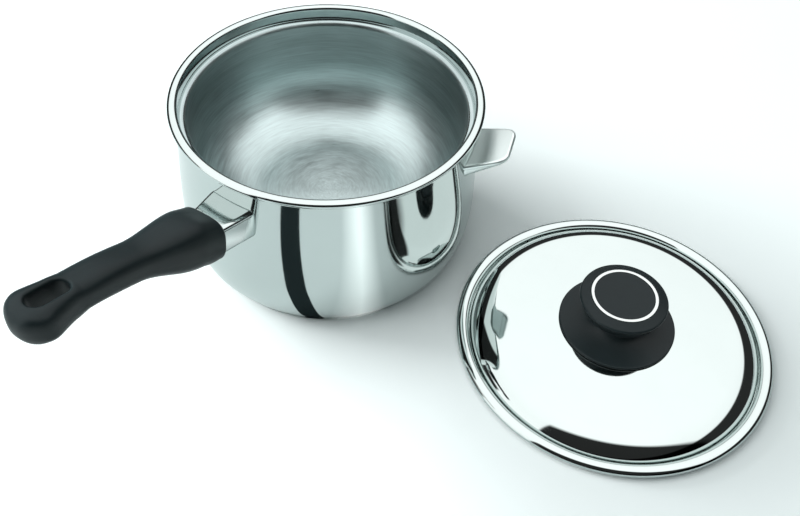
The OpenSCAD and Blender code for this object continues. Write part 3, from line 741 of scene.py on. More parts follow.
def guard_piece(pot, handle):
    """The guard: a tapered tube whose section is a rectangle with round corners. Its rows run out
    along the outside, from a rounded edge at the wall, round the end of the sheet and back along
    the inside."""
    branch = guard_branch(pot, handle)
    quarter = np.radians(np.linspace(0, 90, GUARD_CORNER_STEPS))
    run = np.linspace(1, -1, GUARD_SIDE_STEPS)[1:-1]
    flat = np.zeros_like(run)
    turn = np.r_[quarter, flat + math.pi/2, quarter + math.pi/2, flat + math.pi,
                 quarter + math.pi, flat - math.pi/2, quarter + 1.5*math.pi, flat]
    ones = np.ones(len(quarter))
    share_y = np.r_[ones, run, -ones, flat - 1, -ones, -run, ones, flat + 1]
    share_z = np.r_[ones, flat + 1, ones, run, -ones, flat - 1, -ones, -run]
    bulge_z = handle.guard_crown*(1 - share_y**2)*np.sign(share_z)
    bulge_y = handle.guard_crown*(1 - share_z**2)*np.sign(share_y)

    def section(x, inset):
        """The section at x, drawn in by inset, as (y, z)."""
        half_w = (handle.guard_w + (handle.guard_tip_w - handle.guard_w)*x/handle.guard_l)/2
        corner = handle.guard_corner_r
        y = share_y*(half_w - corner) + (corner - inset)*np.cos(turn) + bulge_y
        z = share_z*(handle.guard_h/2 - corner) + (corner - inset)*np.sin(turn) + bulge_z
        return y, z

    foot = GUARD_FOOT*(1 - np.cos(np.linspace(0, math.pi/2, GUARD_FOOT_STEPS)))

    def rows(inset, sink):
        """The x of each row: the rounded start at the wall, then even steps outward."""
        near = branch.start(lambda x: section(x, inset), len(turn), sink) + foot[:, None]
        span = handle.guard_l - GUARD_EDGE - near[-1]
        return np.vstack([near, near[-1] + span*np.linspace(0, 1, GUARD_ROWS)[1:, None]])

    swing = np.radians(np.linspace(0, 90, 6)[1:])
    edge_x = handle.guard_l - GUARD_EDGE*(1 - np.r_[np.sin(swing), np.cos(swing)])
    edge_inset = np.r_[GUARD_EDGE*(1 - np.cos(swing)),
                       handle.guard_t - GUARD_EDGE*(1 - np.sin(swing))]
    outside, inside = rows(0.0, WELD_SINK), rows(handle.guard_t, 2*WELD_SINK)[::-1]
    x = np.vstack([outside, np.repeat(edge_x[:, None], len(turn), 1), inside[1:]])
    foot_inset = GUARD_FOOT*(1 - np.sqrt(1 - (1 - foot/GUARD_FOOT)**2))
    inset = np.r_[foot_inset, np.zeros(len(outside) - len(foot)), edge_inset,
                  np.full(len(inside) - 1, handle.guard_t)]
    y, z = section(x, inset[:, None])
    grid = branch.placed(x, y, z)
    return grid.reshape(-1, 3), without_repeats(cells(numbered(grid), True, True))


class Grip:
    """The grip's middle line, sections and openings as functions of the share t of its length."""

    def __init__(self, pot, handle):
        branch = guard_branch(pot, handle)
        front = np.array(branch.upright(handle.guard_l, 0.0)) + (0.0, handle.grip_lift)
        lead = handle.grip_run/3
        end = front + (handle.grip_run, handle.grip_rise)
        self.path = np.array([front, front + (lead, lead*math.tan(handle.start_slope)),
                              end - (lead, lead*math.tan(handle.end_slope)), end])
        self.handle = handle
        self.front = front
        self.screw_x = branch.root + handle.screw_reach
        self.seat_z = (branch.height + handle.screw_reach*math.tan(handle.tongue_tilt)
                       - handle.screw_seat)
        self.slot_x = end[0] - handle.slot_back

    def middle(self, t):
        """Cubic Bezier curve of (x, z)."""
        s = 1 - t
        return np.stack([s**3, 3*s*s*t, 3*s*t*t, t**3], axis=-1) @ self.path

    def lean(self, t):
        """Slope of the sections: the guard's, then the middle line's, then none."""
        s = 1 - t
        legs = np.diff(self.path, axis=0)
        run = np.stack([s*s, 2*s*t, t*t], axis=-1) @ legs
        slope = np.arctan2(run[..., 1], run[..., 0])
        turn = ease(t/TURN_END)
        upright = ease((t - UPRIGHT[0])/(UPRIGHT[1] - UPRIGHT[0]))
        return (self.handle.guard_tilt*(1 - turn) + slope*turn)*(1 - upright)

    def half_sizes(self, t):
        """Half width and half height, rounded off at both ends by circles and a flatter curve."""
        handle = self.handle
        head = ease((WAIST[1] - t)/(WAIST[1] - WAIST[0]))
        tail = ease((t - TAIL[0])/(TAIL[1] - TAIL[0]))
        width = handle.waist_w + (handle.front_w - handle.waist_w)*head + (
            handle.end_w - handle.waist_w)*tail
        height = handle.waist_h + (handle.front_h - handle.waist_h)*head + (
            handle.end_h - handle.waist_h)*tail
        tip = np.clip(1 - (1 - t)*handle.grip_run/handle.tip_l, 0, 1)
        near = np.clip(1 - t*handle.grip_run/handle.front_round, 0, 1)
        inset = handle.front_round*(1 - np.sqrt(1 - near**2))
        return ((width - inset)*np.sqrt(1 - tip**2), (height - inset)*np.sqrt(1 - tip**4))

    def bottom_x(self, t):
        """Distance from the pot's axis of the lowest point of the section at t."""
        return self.middle(t)[..., 0] + self.half_sizes(t)[1]*np.sin(self.lean(t))


def squarish(turn):
    """Half width and height of the section at the angles turn, as shares of the largest: powers
    of the cosine and the sine, squarer above than below."""
    power = np.where(turn > 0, 2/CREST_POWER, 2/BELLY_POWER)
    return np.cos(turn)**power, np.sign(np.sin(turn))*np.abs(np.sin(turn))**power


def stadium(dx, half, radius):
    """Half width at dx of a long hole with round ends: half is half its straight length."""
    past = np.clip(np.abs(dx) - half, 0, radius)
    return np.where(np.abs(dx) < half + radius - AXIS_NEAR, np.sqrt(radius**2 - past**2), 0)


def hole_rim(dx, centre, half, radius, rim, fold):
    """Rows (x, y, depth) over a hole's rounded rim, at the angles fold, from the points dx on its
    outer outline down to the hole's straight wall."""
    past = np.clip(np.abs(dx) - half, 0, radius + rim)/(radius + rim)
    normal_x = np.sign(dx)*past
    normal_y = np.sqrt(1 - past**2)
    out = 1 - np.sin(fold)
    return (np.clip(dx, -half, half) + radius*normal_x + rim*normal_x*out + centre,
            radius*normal_y + rim*normal_y*out, rim*(1 - np.cos(fold)))


def hole_stations(half, reach, steps):
    """Places along a long hole at which its rim is cut into rows, even round its ends."""
    swing = half + reach*np.sin(np.linspace(0, math.pi/2, steps))
    middle = np.linspace(-half, half, 9)[1:-1] if half > 0 else []
    return np.r_[-swing[::-1], middle, swing] if half > 0 else np.r_[-swing[:0:-1], swing]


def mirrored(points, faces):
    """Both halves of a shape given on the side y >= 0; points with y = 0 are shared."""
    apart = points[:, 1] > AXIS_NEAR
    twin = np.where(apart, len(points) + np.cumsum(apart) - 1, np.arange(len(points)))
    other = points[apart]*(1, -1, 1)
    return np.vstack([points, other]), np.vstack([faces, twin[faces][:, ::-1]])


def grip_piece(pot, handle):
    """The grip: half sections, squarer above than below, carried along its middle line. The slot
    and the screw's pocket are slits in the middle plane, opened so that a point at y moves to
    the square root of y² + b²(1 - (y/w)²), where b is the hole's half width and w the
    section's. Rims of a quarter circle and straight walls close them."""
    grip = Grip(pot, handle)
    run = handle.grip_run
    slot_r, slot_half = handle.slot_w/2, (handle.slot_l - handle.slot_w)/2
    slot_rim, pocket_rim = handle.slot_rim_r, handle.pocket_rim_r
    slot_t = (grip.slot_x - grip.front[0]
              + hole_stations(slot_half, slot_r + slot_rim, SLOT_STEPS))/run
    dense = np.linspace(0, POCKET_REACH, POCKET_SEARCH)
    pocket_x = grip.screw_x + hole_stations(0, handle.pocket_r + pocket_rim, POCKET_STEPS)
    pocket_t = np.interp(pocket_x, grip.bottom_x(dense), dense)
    nose = handle.front_round/run*(1 - np.cos(np.linspace(0, math.pi/2, NOSE_STEPS)))
    tail = 1 - handle.tip_l/run*(1 - np.sin(np.linspace(0, math.pi/2, TIP_STEPS)))
    spans = [(nose[-1], pocket_t[0]), (pocket_t[-1], slot_t[0]), (slot_t[-1], tail[0])]
    step = GRIP_STEP/run
    steady = [np.arange(a, b, step)[1:] for a, b in spans if b - a > step]
    t = np.unique(np.round(np.r_[nose, pocket_t, slot_t, tail, np.concatenate(steady)], 9))

    fine = np.linspace(math.pi/2, -math.pi/2, OUTLINE_STEPS)
    ring = np.column_stack(squarish(fine))*(handle.front_w, handle.front_h)
    walk = np.r_[0, np.cumsum(np.linalg.norm(np.diff(ring, axis=0), axis=1))]
    turn = np.interp(np.linspace(0, walk[-1], GRIP_SIDES), walk, fine)
    out, up = squarish(turn)
    out[[0, -1]] = 0

    middle, lean = grip.middle(t), grip.lean(t)
    half_w, half_h = grip.half_sizes(t)
    y = half_w[:, None]*out
    rise = half_h[:, None]*up
    x = middle[:, :1] - rise*np.sin(lean)[:, None]
    z = middle[:, 1:] + rise*np.cos(lean)[:, None]
    slot_dx = x[:, 0] - grip.slot_x
    pocket_dx = x[:, -1] - grip.screw_x
    slot_b = stadium(slot_dx, slot_half, slot_r + slot_rim)
    pocket_b = stadium(pocket_dx, 0, handle.pocket_r + pocket_rim)
    opened = np.where(turn > 0, slot_b[:, None], (slot_b + pocket_b)[:, None])
    y = np.sqrt(y**2 + opened**2*(1 - out**2))
    y[half_w < AXIS_NEAR] = 0

    skin = np.stack([x, y, z], axis=-1)
    points = [skin.reshape(-1, 3)]
    index = numbered(skin, [-1])
    faces = [cells(index)]

    def add(more):
        """Adds a grid of points and gives their numbers."""
        first = sum(len(run) for run in points)
        points.append(more.reshape(-1, 3))
        return first + numbered(more)

    shrink = np.array(FACE_RINGS)[:, None]
    face_x = middle[0, 0] - shrink*rise[0]*math.sin(lean[0])
    face_z = middle[0, 1] + shrink*rise[0]*math.cos(lean[0])
    face = add(np.stack([face_x, shrink*y[0], face_z], axis=-1))
    face[-1] = face[-1, 0]
    faces.append(cells(np.vstack([face[::-1], index[:1]])))

    fold = np.radians(np.linspace(0, 90, 6)[1:])[:, None]
    rows_in = np.flatnonzero(np.abs(slot_dx) <= slot_half + slot_r + slot_rim + ROW_NEAR)
    rim_x, rim_y, sink = hole_rim(slot_dx[rows_in], grip.slot_x, slot_half, slot_r, slot_rim,
                                  fold)
    upper = np.stack([rim_x, rim_y, z[rows_in, 0] - sink], axis=-1)
    lower = np.stack([rim_x, rim_y, z[rows_in, -1] + sink], axis=-1)[::-1]
    parts = np.linspace(0, 1, 6)[1:-1, None, None]
    well = upper[-1] + (lower[0] - upper[-1])*parts
    strip = np.vstack([upper, well, lower])
    strip[:, [0, -1], 1] = 0
    inner = add(strip)
    faces.append(cells(np.vstack([index[rows_in, 0], inner, index[rows_in, -1]]))[:, ::-1])

    rows_in = np.flatnonzero(np.abs(pocket_dx) <= handle.pocket_r + pocket_rim + ROW_NEAR)
    rim_x, rim_y, sink = hole_rim(pocket_dx[rows_in], grip.screw_x, 0, handle.pocket_r,
                                  pocket_rim, fold)
    lower = np.stack([rim_x, rim_y, z[rows_in, -1] + sink], axis=-1)
    seat = lower[-1].copy()
    seat[:, 2] = grip.seat_z
    centre = np.array([grip.screw_x, 0, grip.seat_z]) + np.zeros_like(seat)
    strip = np.stack([*lower, (lower[-1] + seat)/2, seat, (seat + centre)/2, centre])
    strip[:, [0, -1], 1] = 0
    inner = add(strip)
    inner[-1] = inner[-1, 0]
    faces.append(cells(np.vstack([index[rows_in, -1], inner])))

    points, faces = mirrored(np.vstack(points), np.vstack(faces))
    return points*(-1, -1, 1), without_repeats(faces)


# Lid and knob

LID_CURL_END = -150
EDGE_R = 19*MM
EDGE_FALL = 52
FLANGE_CROWN = 54
LID_SIDES = 288
KNOB_SIDES = 160
SEAT_BEVEL = 0.3*MM
RING_LAND = 0.35*MM
RING_ROUND = 0.35
DISC_EDGE = 0.3*MM
DISC_DISH = 0.25*MM
SCREW_SIDES = 96
CROSS_SOFT = 0.18*MM


class Dome:
    """The lid's middle and the places of its dome, edge curve, shoulder, groove and flange. The
    edge curve touches the dome at dome_end and the shoulder where it falls EDGE_FALL degrees."""

    def __init__(self, pot, lid):
        self.centre = centre_of("lid_shell")
        self.lid_r = pot.rim_r + lid.overhang
        self.groove_out = lid.groove_r + lid.thickness
        self.spigot_r = pot.rim_r - 2*pot.rim_roll_r - lid.clearance
        self.groove_x = self.spigot_r - self.groove_out
        self.edge_z = lid.drop + lid.roll_r
        self.flange_z = self.edge_z + lid.roll_r
        self.shoulder_x = self.groove_x - lid.groove_r - lid.shoulder_r
        rise = lid.height - lid.shoulder_z
        self.radius = (self.shoulder_x**2 + rise**2 - lid.shoulder_r**2)/(
            2*(rise - lid.shoulder_r))
        self.middle_z = lid.height - self.radius
        fall = math.radians(EDGE_FALL)
        lean = math.asin((self.shoulder_x - (EDGE_R - lid.shoulder_r)*math.sin(fall))
                         / (self.radius - EDGE_R))
        self.dome_end = 90 - math.degrees(lean)
        self.round_x = (self.radius - EDGE_R)*math.sin(lean)
        self.round_z = self.middle_z + (self.radius - EDGE_R)*math.cos(lean)
        self.shoulder_z = self.round_z + (EDGE_R - lid.shoulder_r)*math.cos(fall)

    def height(self, r, gap=0.0):
        """Height of the dome's outside at radius r, gap above it."""
        return self.middle_z + np.sqrt((self.radius + gap)**2 - r**2)


def lid_profile(pot, lid):
    """One sheet as a closed loop: dome, edge curve, shoulder, groove, flange and rolled edge along
    the outside, then the same curves back, one sheet thickness inside. The flange is an arc that
    rises and falls by FLANGE_CROWN degrees and touches the bend and the roll."""
    dome = Dome(pot, lid)
    t = lid.thickness
    hole = math.degrees(math.acos(lid.hole_r/dome.radius))
    hole_in = math.degrees(math.acos(lid.hole_r/(dome.radius - t)))
    roll_x = dome.lid_r - lid.roll_r
    roll_in = lid.roll_r - t
    bend_x = dome.spigot_r + lid.bend_r
    bend_out = lid.bend_r + t
    lean = math.radians(FLANGE_CROWN)
    crown_r = ((roll_x - bend_x)/math.sin(lean) + lid.roll_r + bend_out)/2
    crown_x = roll_x - (crown_r - lid.roll_r)*math.sin(lean)
    crown_z = dome.flange_z - crown_r
    roll_z = crown_z + (crown_r - lid.roll_r)*math.cos(lean)
    bend_z = crown_z + (crown_r - bend_out)*math.cos(lean)
    near, far = 90 + FLANGE_CROWN, 90 - FLANGE_CROWN
    inner_r = lid.shoulder_r - t
    inner = dome.radius - t
    rise = 90 - EDGE_FALL
    return joined(
        circle(0, dome.middle_z, dome.radius, hole, dome.dome_end, 0.35),
        circle(dome.round_x, dome.round_z, EDGE_R, dome.dome_end, rise, 1.5),
        circle(dome.shoulder_x, dome.shoulder_z, lid.shoulder_r, rise, 0, 3),
        circle(dome.groove_x, dome.groove_out, lid.groove_r, 180, 360, 10),
        circle(bend_x, bend_z, bend_out, 180, near, 6),
        circle(crown_x, crown_z, crown_r, near, far, 4),
        circle(roll_x, roll_z, lid.roll_r, far, LID_CURL_END, 6),
        circle(roll_x, roll_z, roll_in, LID_CURL_END, far, 12),
        circle(crown_x, crown_z, crown_r - t, far, near, 8),
        circle(bend_x, bend_z, lid.bend_r, near, 180, 12),
        circle(dome.groove_x, dome.groove_out, dome.groove_out, 0, -180, 6),
        circle(dome.shoulder_x, dome.shoulder_z, inner_r, 0, rise, 6),
        circle(dome.round_x, dome.round_z, EDGE_R - t, rise, dome.dome_end, 2),
        circle(0, dome.middle_z, inner, dome.dome_end, hole_in, 0.5))


def skirt_profile(pot, lid, knob):
    """The knob's skirt as a closed loop: along the dome, round the thin edge, up the flare."""
    dome = Dome(pot, lid)
    edge_r = knob.skirt_edge/2
    rim_x = knob.skirt_r - edge_r
    middle = float(dome.height(rim_x, knob.seat_gap)) + edge_r
    top_z = lid.height + knob.skirt_h
    along = np.linspace(lid.hole_r, rim_x, 14)
    under = np.column_stack([along, dome.height(along, knob.seat_gap)])
    return joined(under, circle(rim_x, middle, edge_r, -60, 90, 10),
                  arc(rim_x, top_z, rim_x - knob.skirt_top_r, top_z - middle - edge_r,
                      -90, -180, 3),
                  [[knob.skirt_top_r - SEAT_BEVEL, top_z], [lid.hole_r, top_z]])


def knob_profile(lid, knob):
    """The knob: insert's seat, waist, underside, two rounded edges, top and the inlay's seat."""
    low_z = lid.height + knob.skirt_h
    top_z = lid.height + knob.knob_h
    cap_z = top_z - knob.cap_h
    inlay_z = top_z - knob.inlay_depth
    under_x = knob.knob_r - knob.draw_in - knob.edge_r
    edge_x = knob.knob_r - knob.edge_r
    edge_z = top_z - knob.top_fall - knob.edge_r
    seat_z = low_z + knob.insert_l
    side_low = circle(under_x, cap_z + knob.edge_r, knob.edge_r, -90, 0, 9)
    side_high = circle(edge_x, edge_z, knob.edge_r, 0, 75, 9)
    return joined([[0, seat_z], [knob.insert_r, seat_z], [knob.insert_r, low_z],
                   [knob.waist_r, low_z]],
                  arc(under_x, low_z, under_x - knob.waist_r, cap_z - low_z, 180, 90, 4),
                  side_low, straight(side_low[-1], side_high[0], 6)[1:-1], side_high,
                  straight(side_high[-1], (knob.ring_r + RING_LAND, top_z), 4)[1:],
                  [[knob.ring_r, top_z - SEAT_BEVEL], [knob.ring_r, inlay_z], [0, inlay_z]])


def ring_profile(lid, knob):
    """The steel ring as a closed loop with a low rounded top."""
    low = lid.height + knob.knob_h - knob.inlay_depth
    high = lid.height + knob.knob_h + knob.ring_proud
    soft = knob.ring_w/2
    return joined([[knob.ring_r - knob.ring_w, low], [knob.ring_r, low]],
                  arc(knob.ring_r - soft, high - RING_ROUND*soft, soft, RING_ROUND*soft, 0, 180, 9))


def disc_profile(lid, knob):
    """The disc inside the ring, barely dished, with a small round edge."""
    low = lid.height + knob.knob_h - knob.inlay_depth
    high = lid.height + knob.knob_h
    edge = DISC_EDGE
    radius = knob.ring_r - knob.ring_w
    along = np.linspace(radius - edge, 0, 12)
    dish = DISC_DISH*(1 - (along/radius)**2)
    return joined([[0, low], [radius, low]], circle(radius - edge, high - edge, edge, 0, 90, 15),
                  np.column_stack([along, high - dish]))


# Screws

def screw_piece(screw, centre, seat_z, shank_l):
    """A pan-head screw seen from below: rings from the middle of the head's face, raised where
    both a cross of two grooves and a circle say so, round the edge, up the head and the shank."""
    rings = np.linspace(0, screw.head_r - screw.edge_r, 25)
    swing = np.radians(np.linspace(0, 90, 8)[1:])
    face_r = np.r_[rings, screw.head_r - screw.edge_r + screw.edge_r*np.sin(swing)]
    face_z = np.r_[np.zeros(len(rings)), screw.edge_r*(1 - np.cos(swing))] - screw.head_h
    profile = joined(np.column_stack([face_r, face_z]),
                     [[screw.head_r, 0], [screw.shank_r, 0], [screw.shank_r, shank_l],
                      [0, shank_l]])
    grid = turned(profile, whole_turn(SCREW_SIDES))
    across = np.minimum(np.abs(grid[..., 0]), np.abs(grid[..., 1]))
    reach = np.hypot(grid[..., 0], grid[..., 1])
    cross = (1 - ease((across - screw.cross_half)/CROSS_SOFT))*(
        1 - ease((reach - screw.cross_reach)/(2*CROSS_SOFT)))
    grid[:len(rings), :, 2] += screw.cross_depth*cross[:len(rings)]*(
        1 - 0.5*reach[:len(rings)]/screw.cross_reach)
    faces = without_repeats(cells(numbered(grid, [0, -1]), close_columns=True))
    return grid.reshape(-1, 3) + (*centre, seat_z), faces


# Materials

OFF_AXIS = 1e-6
POLISH_IN = 0.9*MM
POLISH_FADE = 0.8*MM
BRUSH_TOP_Z = 90*MM
# Painted shade: how far the vessel's colour is darkened towards black at each share of BRUSH_TOP_Z.
BRUSH_PAINTED_SHADE = ((0.32, 0.2), (0.45, 0.0), (0.6, 0.0), (0.9, 0.34))
BRUSH_DEPTH = 0.007*MM
LINE_SHARE = 0.6
BAND_SHARE = 0.4
STREAK_GAIN = 2.2
STREAK_TONES = (0.74, 1.2)
STREAK_GLOSS = 0.12
HAZE_GLOSS = 0.06
WIPED_TONE = 0.955
WIPED_GLOSS = 0.035
PHENOLIC_TONES = (0.8, 1.3)
PHENOLIC_SPECULAR = 0.22
PATCH_TONES = (0.88, 1.06)
GRAIN_GLOSS = 0.14
POLISH_DEPTH = 0.0006*MM
GRAIN_DEPTH = 0.006*MM
FLOW_DEPTH = 0.03*MM
RING_DEPTH = 0.001*MM


class Value:
    """A number or vector that varies over a surface: a node's output. Arithmetic adds nodes."""

    def __init__(self, shader, socket):
        self.shader = shader
        self.socket = socket

    def math(self, operation, other=0.0, swapped=False, clamp=False):
        """One Math node on this value and another."""
        first, second = (other, self) if swapped else (self, other)
        return self.shader.add("ShaderNodeMath", {"operation": operation, "use_clamp": clamp},
                               {0: first, 1: second})

    def __add__(self, other):
        return self.math("ADD", other)

    def __sub__(self, other):
        return self.math("SUBTRACT", other)

    def __rsub__(self, other):
        return self.math("SUBTRACT", other, swapped=True)

    def __mul__(self, other):
        return self.math("MULTIPLY", other)

    def __truediv__(self, other):
        return self.math("DIVIDE", other)

    def __pow__(self, other):
        return self.math("POWER", other)

    __radd__ = __add__
    __rmul__ = __mul__

    def clamped(self):
        """Held between 0 and 1."""
        return self.math("ADD", 0.0, clamp=True)


class Shader:
    """The nodes of one material or of the world."""

    def __init__(self, owner):
        owner.use_nodes = True
        self.owner = owner
        self.tree = owner.node_tree
        self.tree.nodes.clear()

    def add(self, kind, settings=None, inputs=None, output=0):
        """Any node: its settings first, then the values or links of its sockets."""
        node = self.tree.nodes.new(kind)
        for key, setting in (settings or {}).items():
            if key == "stops":
                self.set_stops(node.color_ramp, setting)
            else:
                setattr(node, key, setting)
        for key, value in (inputs or {}).items():
            if isinstance(value, Value):
                self.tree.links.new(value.socket, node.inputs[key])
            else:
                node.inputs[key].default_value = value
        return Value(self, node.outputs[output]) if node.outputs else None

    @staticmethod
    def set_stops(ramp, stops):
        """A ramp's stops as (place, grey) pairs."""
        while len(ramp.elements) < len(stops):
            ramp.elements.new(1.0)
        for element, (place, grey) in zip(ramp.elements, stops):
            element.position = place
            element.color = (grey, grey, grey, 1)

    def ramp(self, value, *stops):
        """The value passed through a ramp of (place, grey) stops."""
        return self.add("ShaderNodeValToRGB", {"stops": stops}, {0: value})

    def point(self, centre=(0, 0, 0), turn=0.0):
        """Object coordinates, measured from centre, or turned about the Z axis."""
        place = self.add("ShaderNodeTexCoord", output="Object")
        return self.add("ShaderNodeMapping", {"vector_type": "POINT"},
                        {"Vector": place, "Location": [-c for c in centre],
                         "Rotation": (0.0, 0.0, turn)})

    def axes(self, vector):
        """The three numbers of a vector."""
        node = self.add("ShaderNodeSeparateXYZ", inputs={0: vector}).socket.node
        return [Value(self, socket) for socket in node.outputs]

    def noise(self, vector, scale, detail, roughness, **more):
        """Noise between 0 and 1, with features one over scale metres across."""
        settings = {"noise_dimensions": "4D" if "W" in more else "3D"}
        return self.add("ShaderNodeTexNoise", settings,
                        {"Vector": vector, "Scale": scale, "Detail": detail,
                         "Roughness": roughness, **more})

    def brushing(self, vector, fine, drift):
        """Lines that run round the Z axis: noise on the direction from the axis, which changes
        slowly, and on the radius and the height, which change fast."""
        x, y, z = self.axes(vector)
        r = (x*x + y*y)**0.5 + OFF_AXIS
        around = self.add("ShaderNodeCombineXYZ",
                          inputs={"X": x/r*drift, "Y": y/r*drift, "Z": z*fine})
        return self.noise(around, scale=1.0, detail=2.0, roughness=0.6, W=r*fine)

    def bump(self, height, distance, normal=None):
        """A normal bent by a height, in metres."""
        inputs = {"Height": height, "Distance": distance, "Strength": 1.0}
        if normal is not None:
            inputs["Normal"] = normal
        return self.add("ShaderNodeBump", inputs=inputs)

    def tint(self, factor, first, second):
        """Colours mixed by a factor."""
        return self.add("ShaderNodeMix", {"data_type": "RGBA"},
                        {0: factor, 6: rgba(first), 7: rgba(second)}, output=2)

    def surface(self, **inputs):
        """Ends the material in a Principled shader and gives the material back."""
        named = {key.replace("_", " "): rgba(value) if key == "Base_Color" else value
                 for key, value in inputs.items()}
        shader = self.add("ShaderNodeBsdfPrincipled", inputs=named)
        self.add("ShaderNodeOutputMaterial", inputs={"Surface": shader})
        return self.owner


def rgba(value):
    """A colour with its fourth number, or a link as it is."""
    return value if isinstance(value, Value) else (*value, 1.0)


def scaled(value, factor):
    """A colour made darker or lighter."""
    return [min(1.0, part*factor) for part in value]


def material(name):
    """A new material's shader."""
    return Shader(bpy.data.materials.new(name))


def polished_steel(name, finish, centre=(0, 0, 0), ripple=0.02*MM, ripple_scale=14.0,
                   roughness=None, lighter=1.0):
    """Mirror-polished sheet: a long ripple from pressing, hair-fine polishing lines round the
    axis and a faint haze of wiping marks. A lighter above one makes a lighter copy of the
    steel's colour, which is painted light."""
    shader = material(name)
    place = shader.point(centre)
    wiping = shader.noise(place, scale=26.0, detail=5.0, roughness=0.6)
    haze = shader.ramp(wiping, (0.42, 0.0), (0.72, 1.0))
    lines = shader.brushing(place, fine=2600.0, drift=9.0)
    ripples = shader.noise(place, ripple_scale, 1.5, 0.4)
    base = finish.mirror_roughness if roughness is None else roughness
    normal = shader.bump(lines, POLISH_DEPTH, shader.bump(ripples, ripple))
    # With lighter above one, the colour carries painted light.
    return shader.surface(
        Base_Color=shader.tint(haze*0.5, scaled(finish.mirror, lighter),
                               scaled(finish.mirror, WIPED_TONE*lighter)),
        Metallic=1.0, Roughness=haze*WIPED_GLOSS + base, Normal=normal)


def brushed_steel(name, colour_of, roughness, polished_from=None, polish=None):
    """Sheet brushed round the axis: the lines drive the bump, the roughness and the shade, and
    the highlight is drawn out across them. A vessel is polished beyond the radius polished_from,
    and has painted shade: its colour is darker towards the top, and a little darker low down, by
    the stops of BRUSH_PAINTED_SHADE, standing in for the darker reflections high on its wall."""
    shader = material(name)
    place = shader.point()
    lines = shader.brushing(place, fine=900.0, drift=4.0)
    bands = shader.brushing(place, fine=240.0, drift=2.5)
    haze = shader.noise(place, scale=30.0, detail=4.0, roughness=0.55)
    streak = ((lines*LINE_SHARE + bands*BAND_SHARE - 0.5)*STREAK_GAIN + 0.5).clamped()
    gloss = streak*STREAK_GLOSS + haze*HAZE_GLOSS + (roughness - (STREAK_GLOSS + HAZE_GLOSS)/2)
    shade = shader.tint(streak, *[scaled(colour_of, tone) for tone in STREAK_TONES])
    if polished_from:
        x, y, z = shader.axes(place)
        # Painted shade: the vessel's colour darkened high up and low down by height.
        shade = shader.tint(shader.ramp(z/BRUSH_TOP_Z, *BRUSH_PAINTED_SHADE), shade, (0.0, 0.0, 0.0))
        smooth = (((x*x + y*y)**0.5 - polished_from)/POLISH_FADE).clamped()
        gloss = gloss*(1.0 - smooth) + smooth*polish
        lines = lines*(1.0 - smooth)
    return shader.surface(
        Base_Color=shade, Metallic=1.0, Roughness=gloss, Anisotropic=0.7, Anisotropic_Rotation=0.25,
        Normal=shader.bump(lines, BRUSH_DEPTH))


def moulded_phenolic(name, finish, centre=(0, 0, 0)):
    """Satin moulded resin: fine flow mottling, a soft stipple and slightly uneven gloss."""
    shader = material(name)
    place = shader.point(centre)
    mottle = shader.noise(place, scale=60.0, detail=4.0, roughness=0.6)
    stipple = shader.noise(place, scale=2200.0, detail=2.0, roughness=0.5)
    flow = shader.noise(place, scale=18.0, detail=2.0, roughness=0.5)
    rubbing = shader.noise(place, scale=95.0, detail=6.0, roughness=0.7)
    wear = shader.ramp(rubbing, (0.5, 0.0), (0.8, 1.0))
    normal = shader.bump(stipple, GRAIN_DEPTH, shader.bump(flow, FLOW_DEPTH))
    return shader.surface(
        Base_Color=shader.tint(mottle, *[scaled(finish.phenolic, tone) for tone in PHENOLIC_TONES]),
        Roughness=mottle*0.08 + wear*0.05 + (finish.phenolic_roughness - 0.05),
        Specular_IOR_Level=PHENOLIC_SPECULAR, Normal=normal)


def plain_metal(name, colour_of, roughness, grain=700.0):
    """A machined or plated metal: fine grain in the gloss, the shade and the surface."""
    shader = material(name)
    place = shader.point()
    grains = shader.noise(place, grain, 4.0, 0.6)
    patches = shader.noise(place, scale=90.0, detail=3.0, roughness=0.5)
    return shader.surface(
        Base_Color=shader.tint(patches, *[scaled(colour_of, tone) for tone in PATCH_TONES]),
        Metallic=1.0, Roughness=grains*GRAIN_GLOSS + (roughness - GRAIN_GLOSS/2),
        Normal=shader.bump(grains, GRAIN_DEPTH))


# Studio

FLOOR_GAP = 0.2*MM
LIGHT_TONE = (0.925, 1.0, 1.0)
FILM_WIDTH = 36.0


class View:
    """The view's own frame: +Y runs away from the camera, and the origin is the pot's."""

    def __init__(self, studio):
        self.turn = Matrix.Rotation(studio.turn, 4, "Z")

    def point(self, x, y, z):
        """A place in metres, turned into the pot's frame."""
        return self.turn @ Vector((x, y, z))


def add_camera(studio, view):
    """The photograph's camera: level axis across, pitched down and rolled."""
    data = bpy.data.cameras.new("camera")
    data.lens = studio.lens
    data.sensor_width = FILM_WIDTH
    data.shift_y = studio.shift_y
    data.clip_start = 0.01
    camera = bpy.data.objects.new("camera", data)
    bpy.context.scene.collection.objects.link(camera)
    tip = Matrix.Rotation(math.pi/2 - studio.pitch, 4, "X")
    roll = Matrix.Rotation(studio.roll, 4, "Z")
    place = Matrix.Translation(view.point(studio.camera_x, studio.camera_y, studio.camera_z))
    camera.matrix_world = place @ view.turn @ tip @ roll
    bpy.context.scene.camera = camera


def add_lamp(name, place, width, height, part):
    """A softbox that faces the origin and gives a white floor there the stated part of its white:
    power = part · pi² · distance³ / height above the floor. Metal mirrors the surround instead,
    which has no edges."""
    distance = place.length
    data = bpy.data.lights.new(name, "AREA")
    data.shape = "RECTANGLE"
    data.size = width
    data.size_y = height
    data.energy = part*math.pi**2*distance**3/place.z
    data.color = LIGHT_TONE
    lamp = bpy.data.objects.new(name, data)
    bpy.context.scene.collection.objects.link(lamp)
    lamp.matrix_world = Matrix.Translation(place) @ (
        (-place).to_track_quat("-Z", "Y").to_matrix().to_4x4())
    lamp.visible_glossy = False


BAND_PAST = 0.6
BAND_SLOPE = 8.0


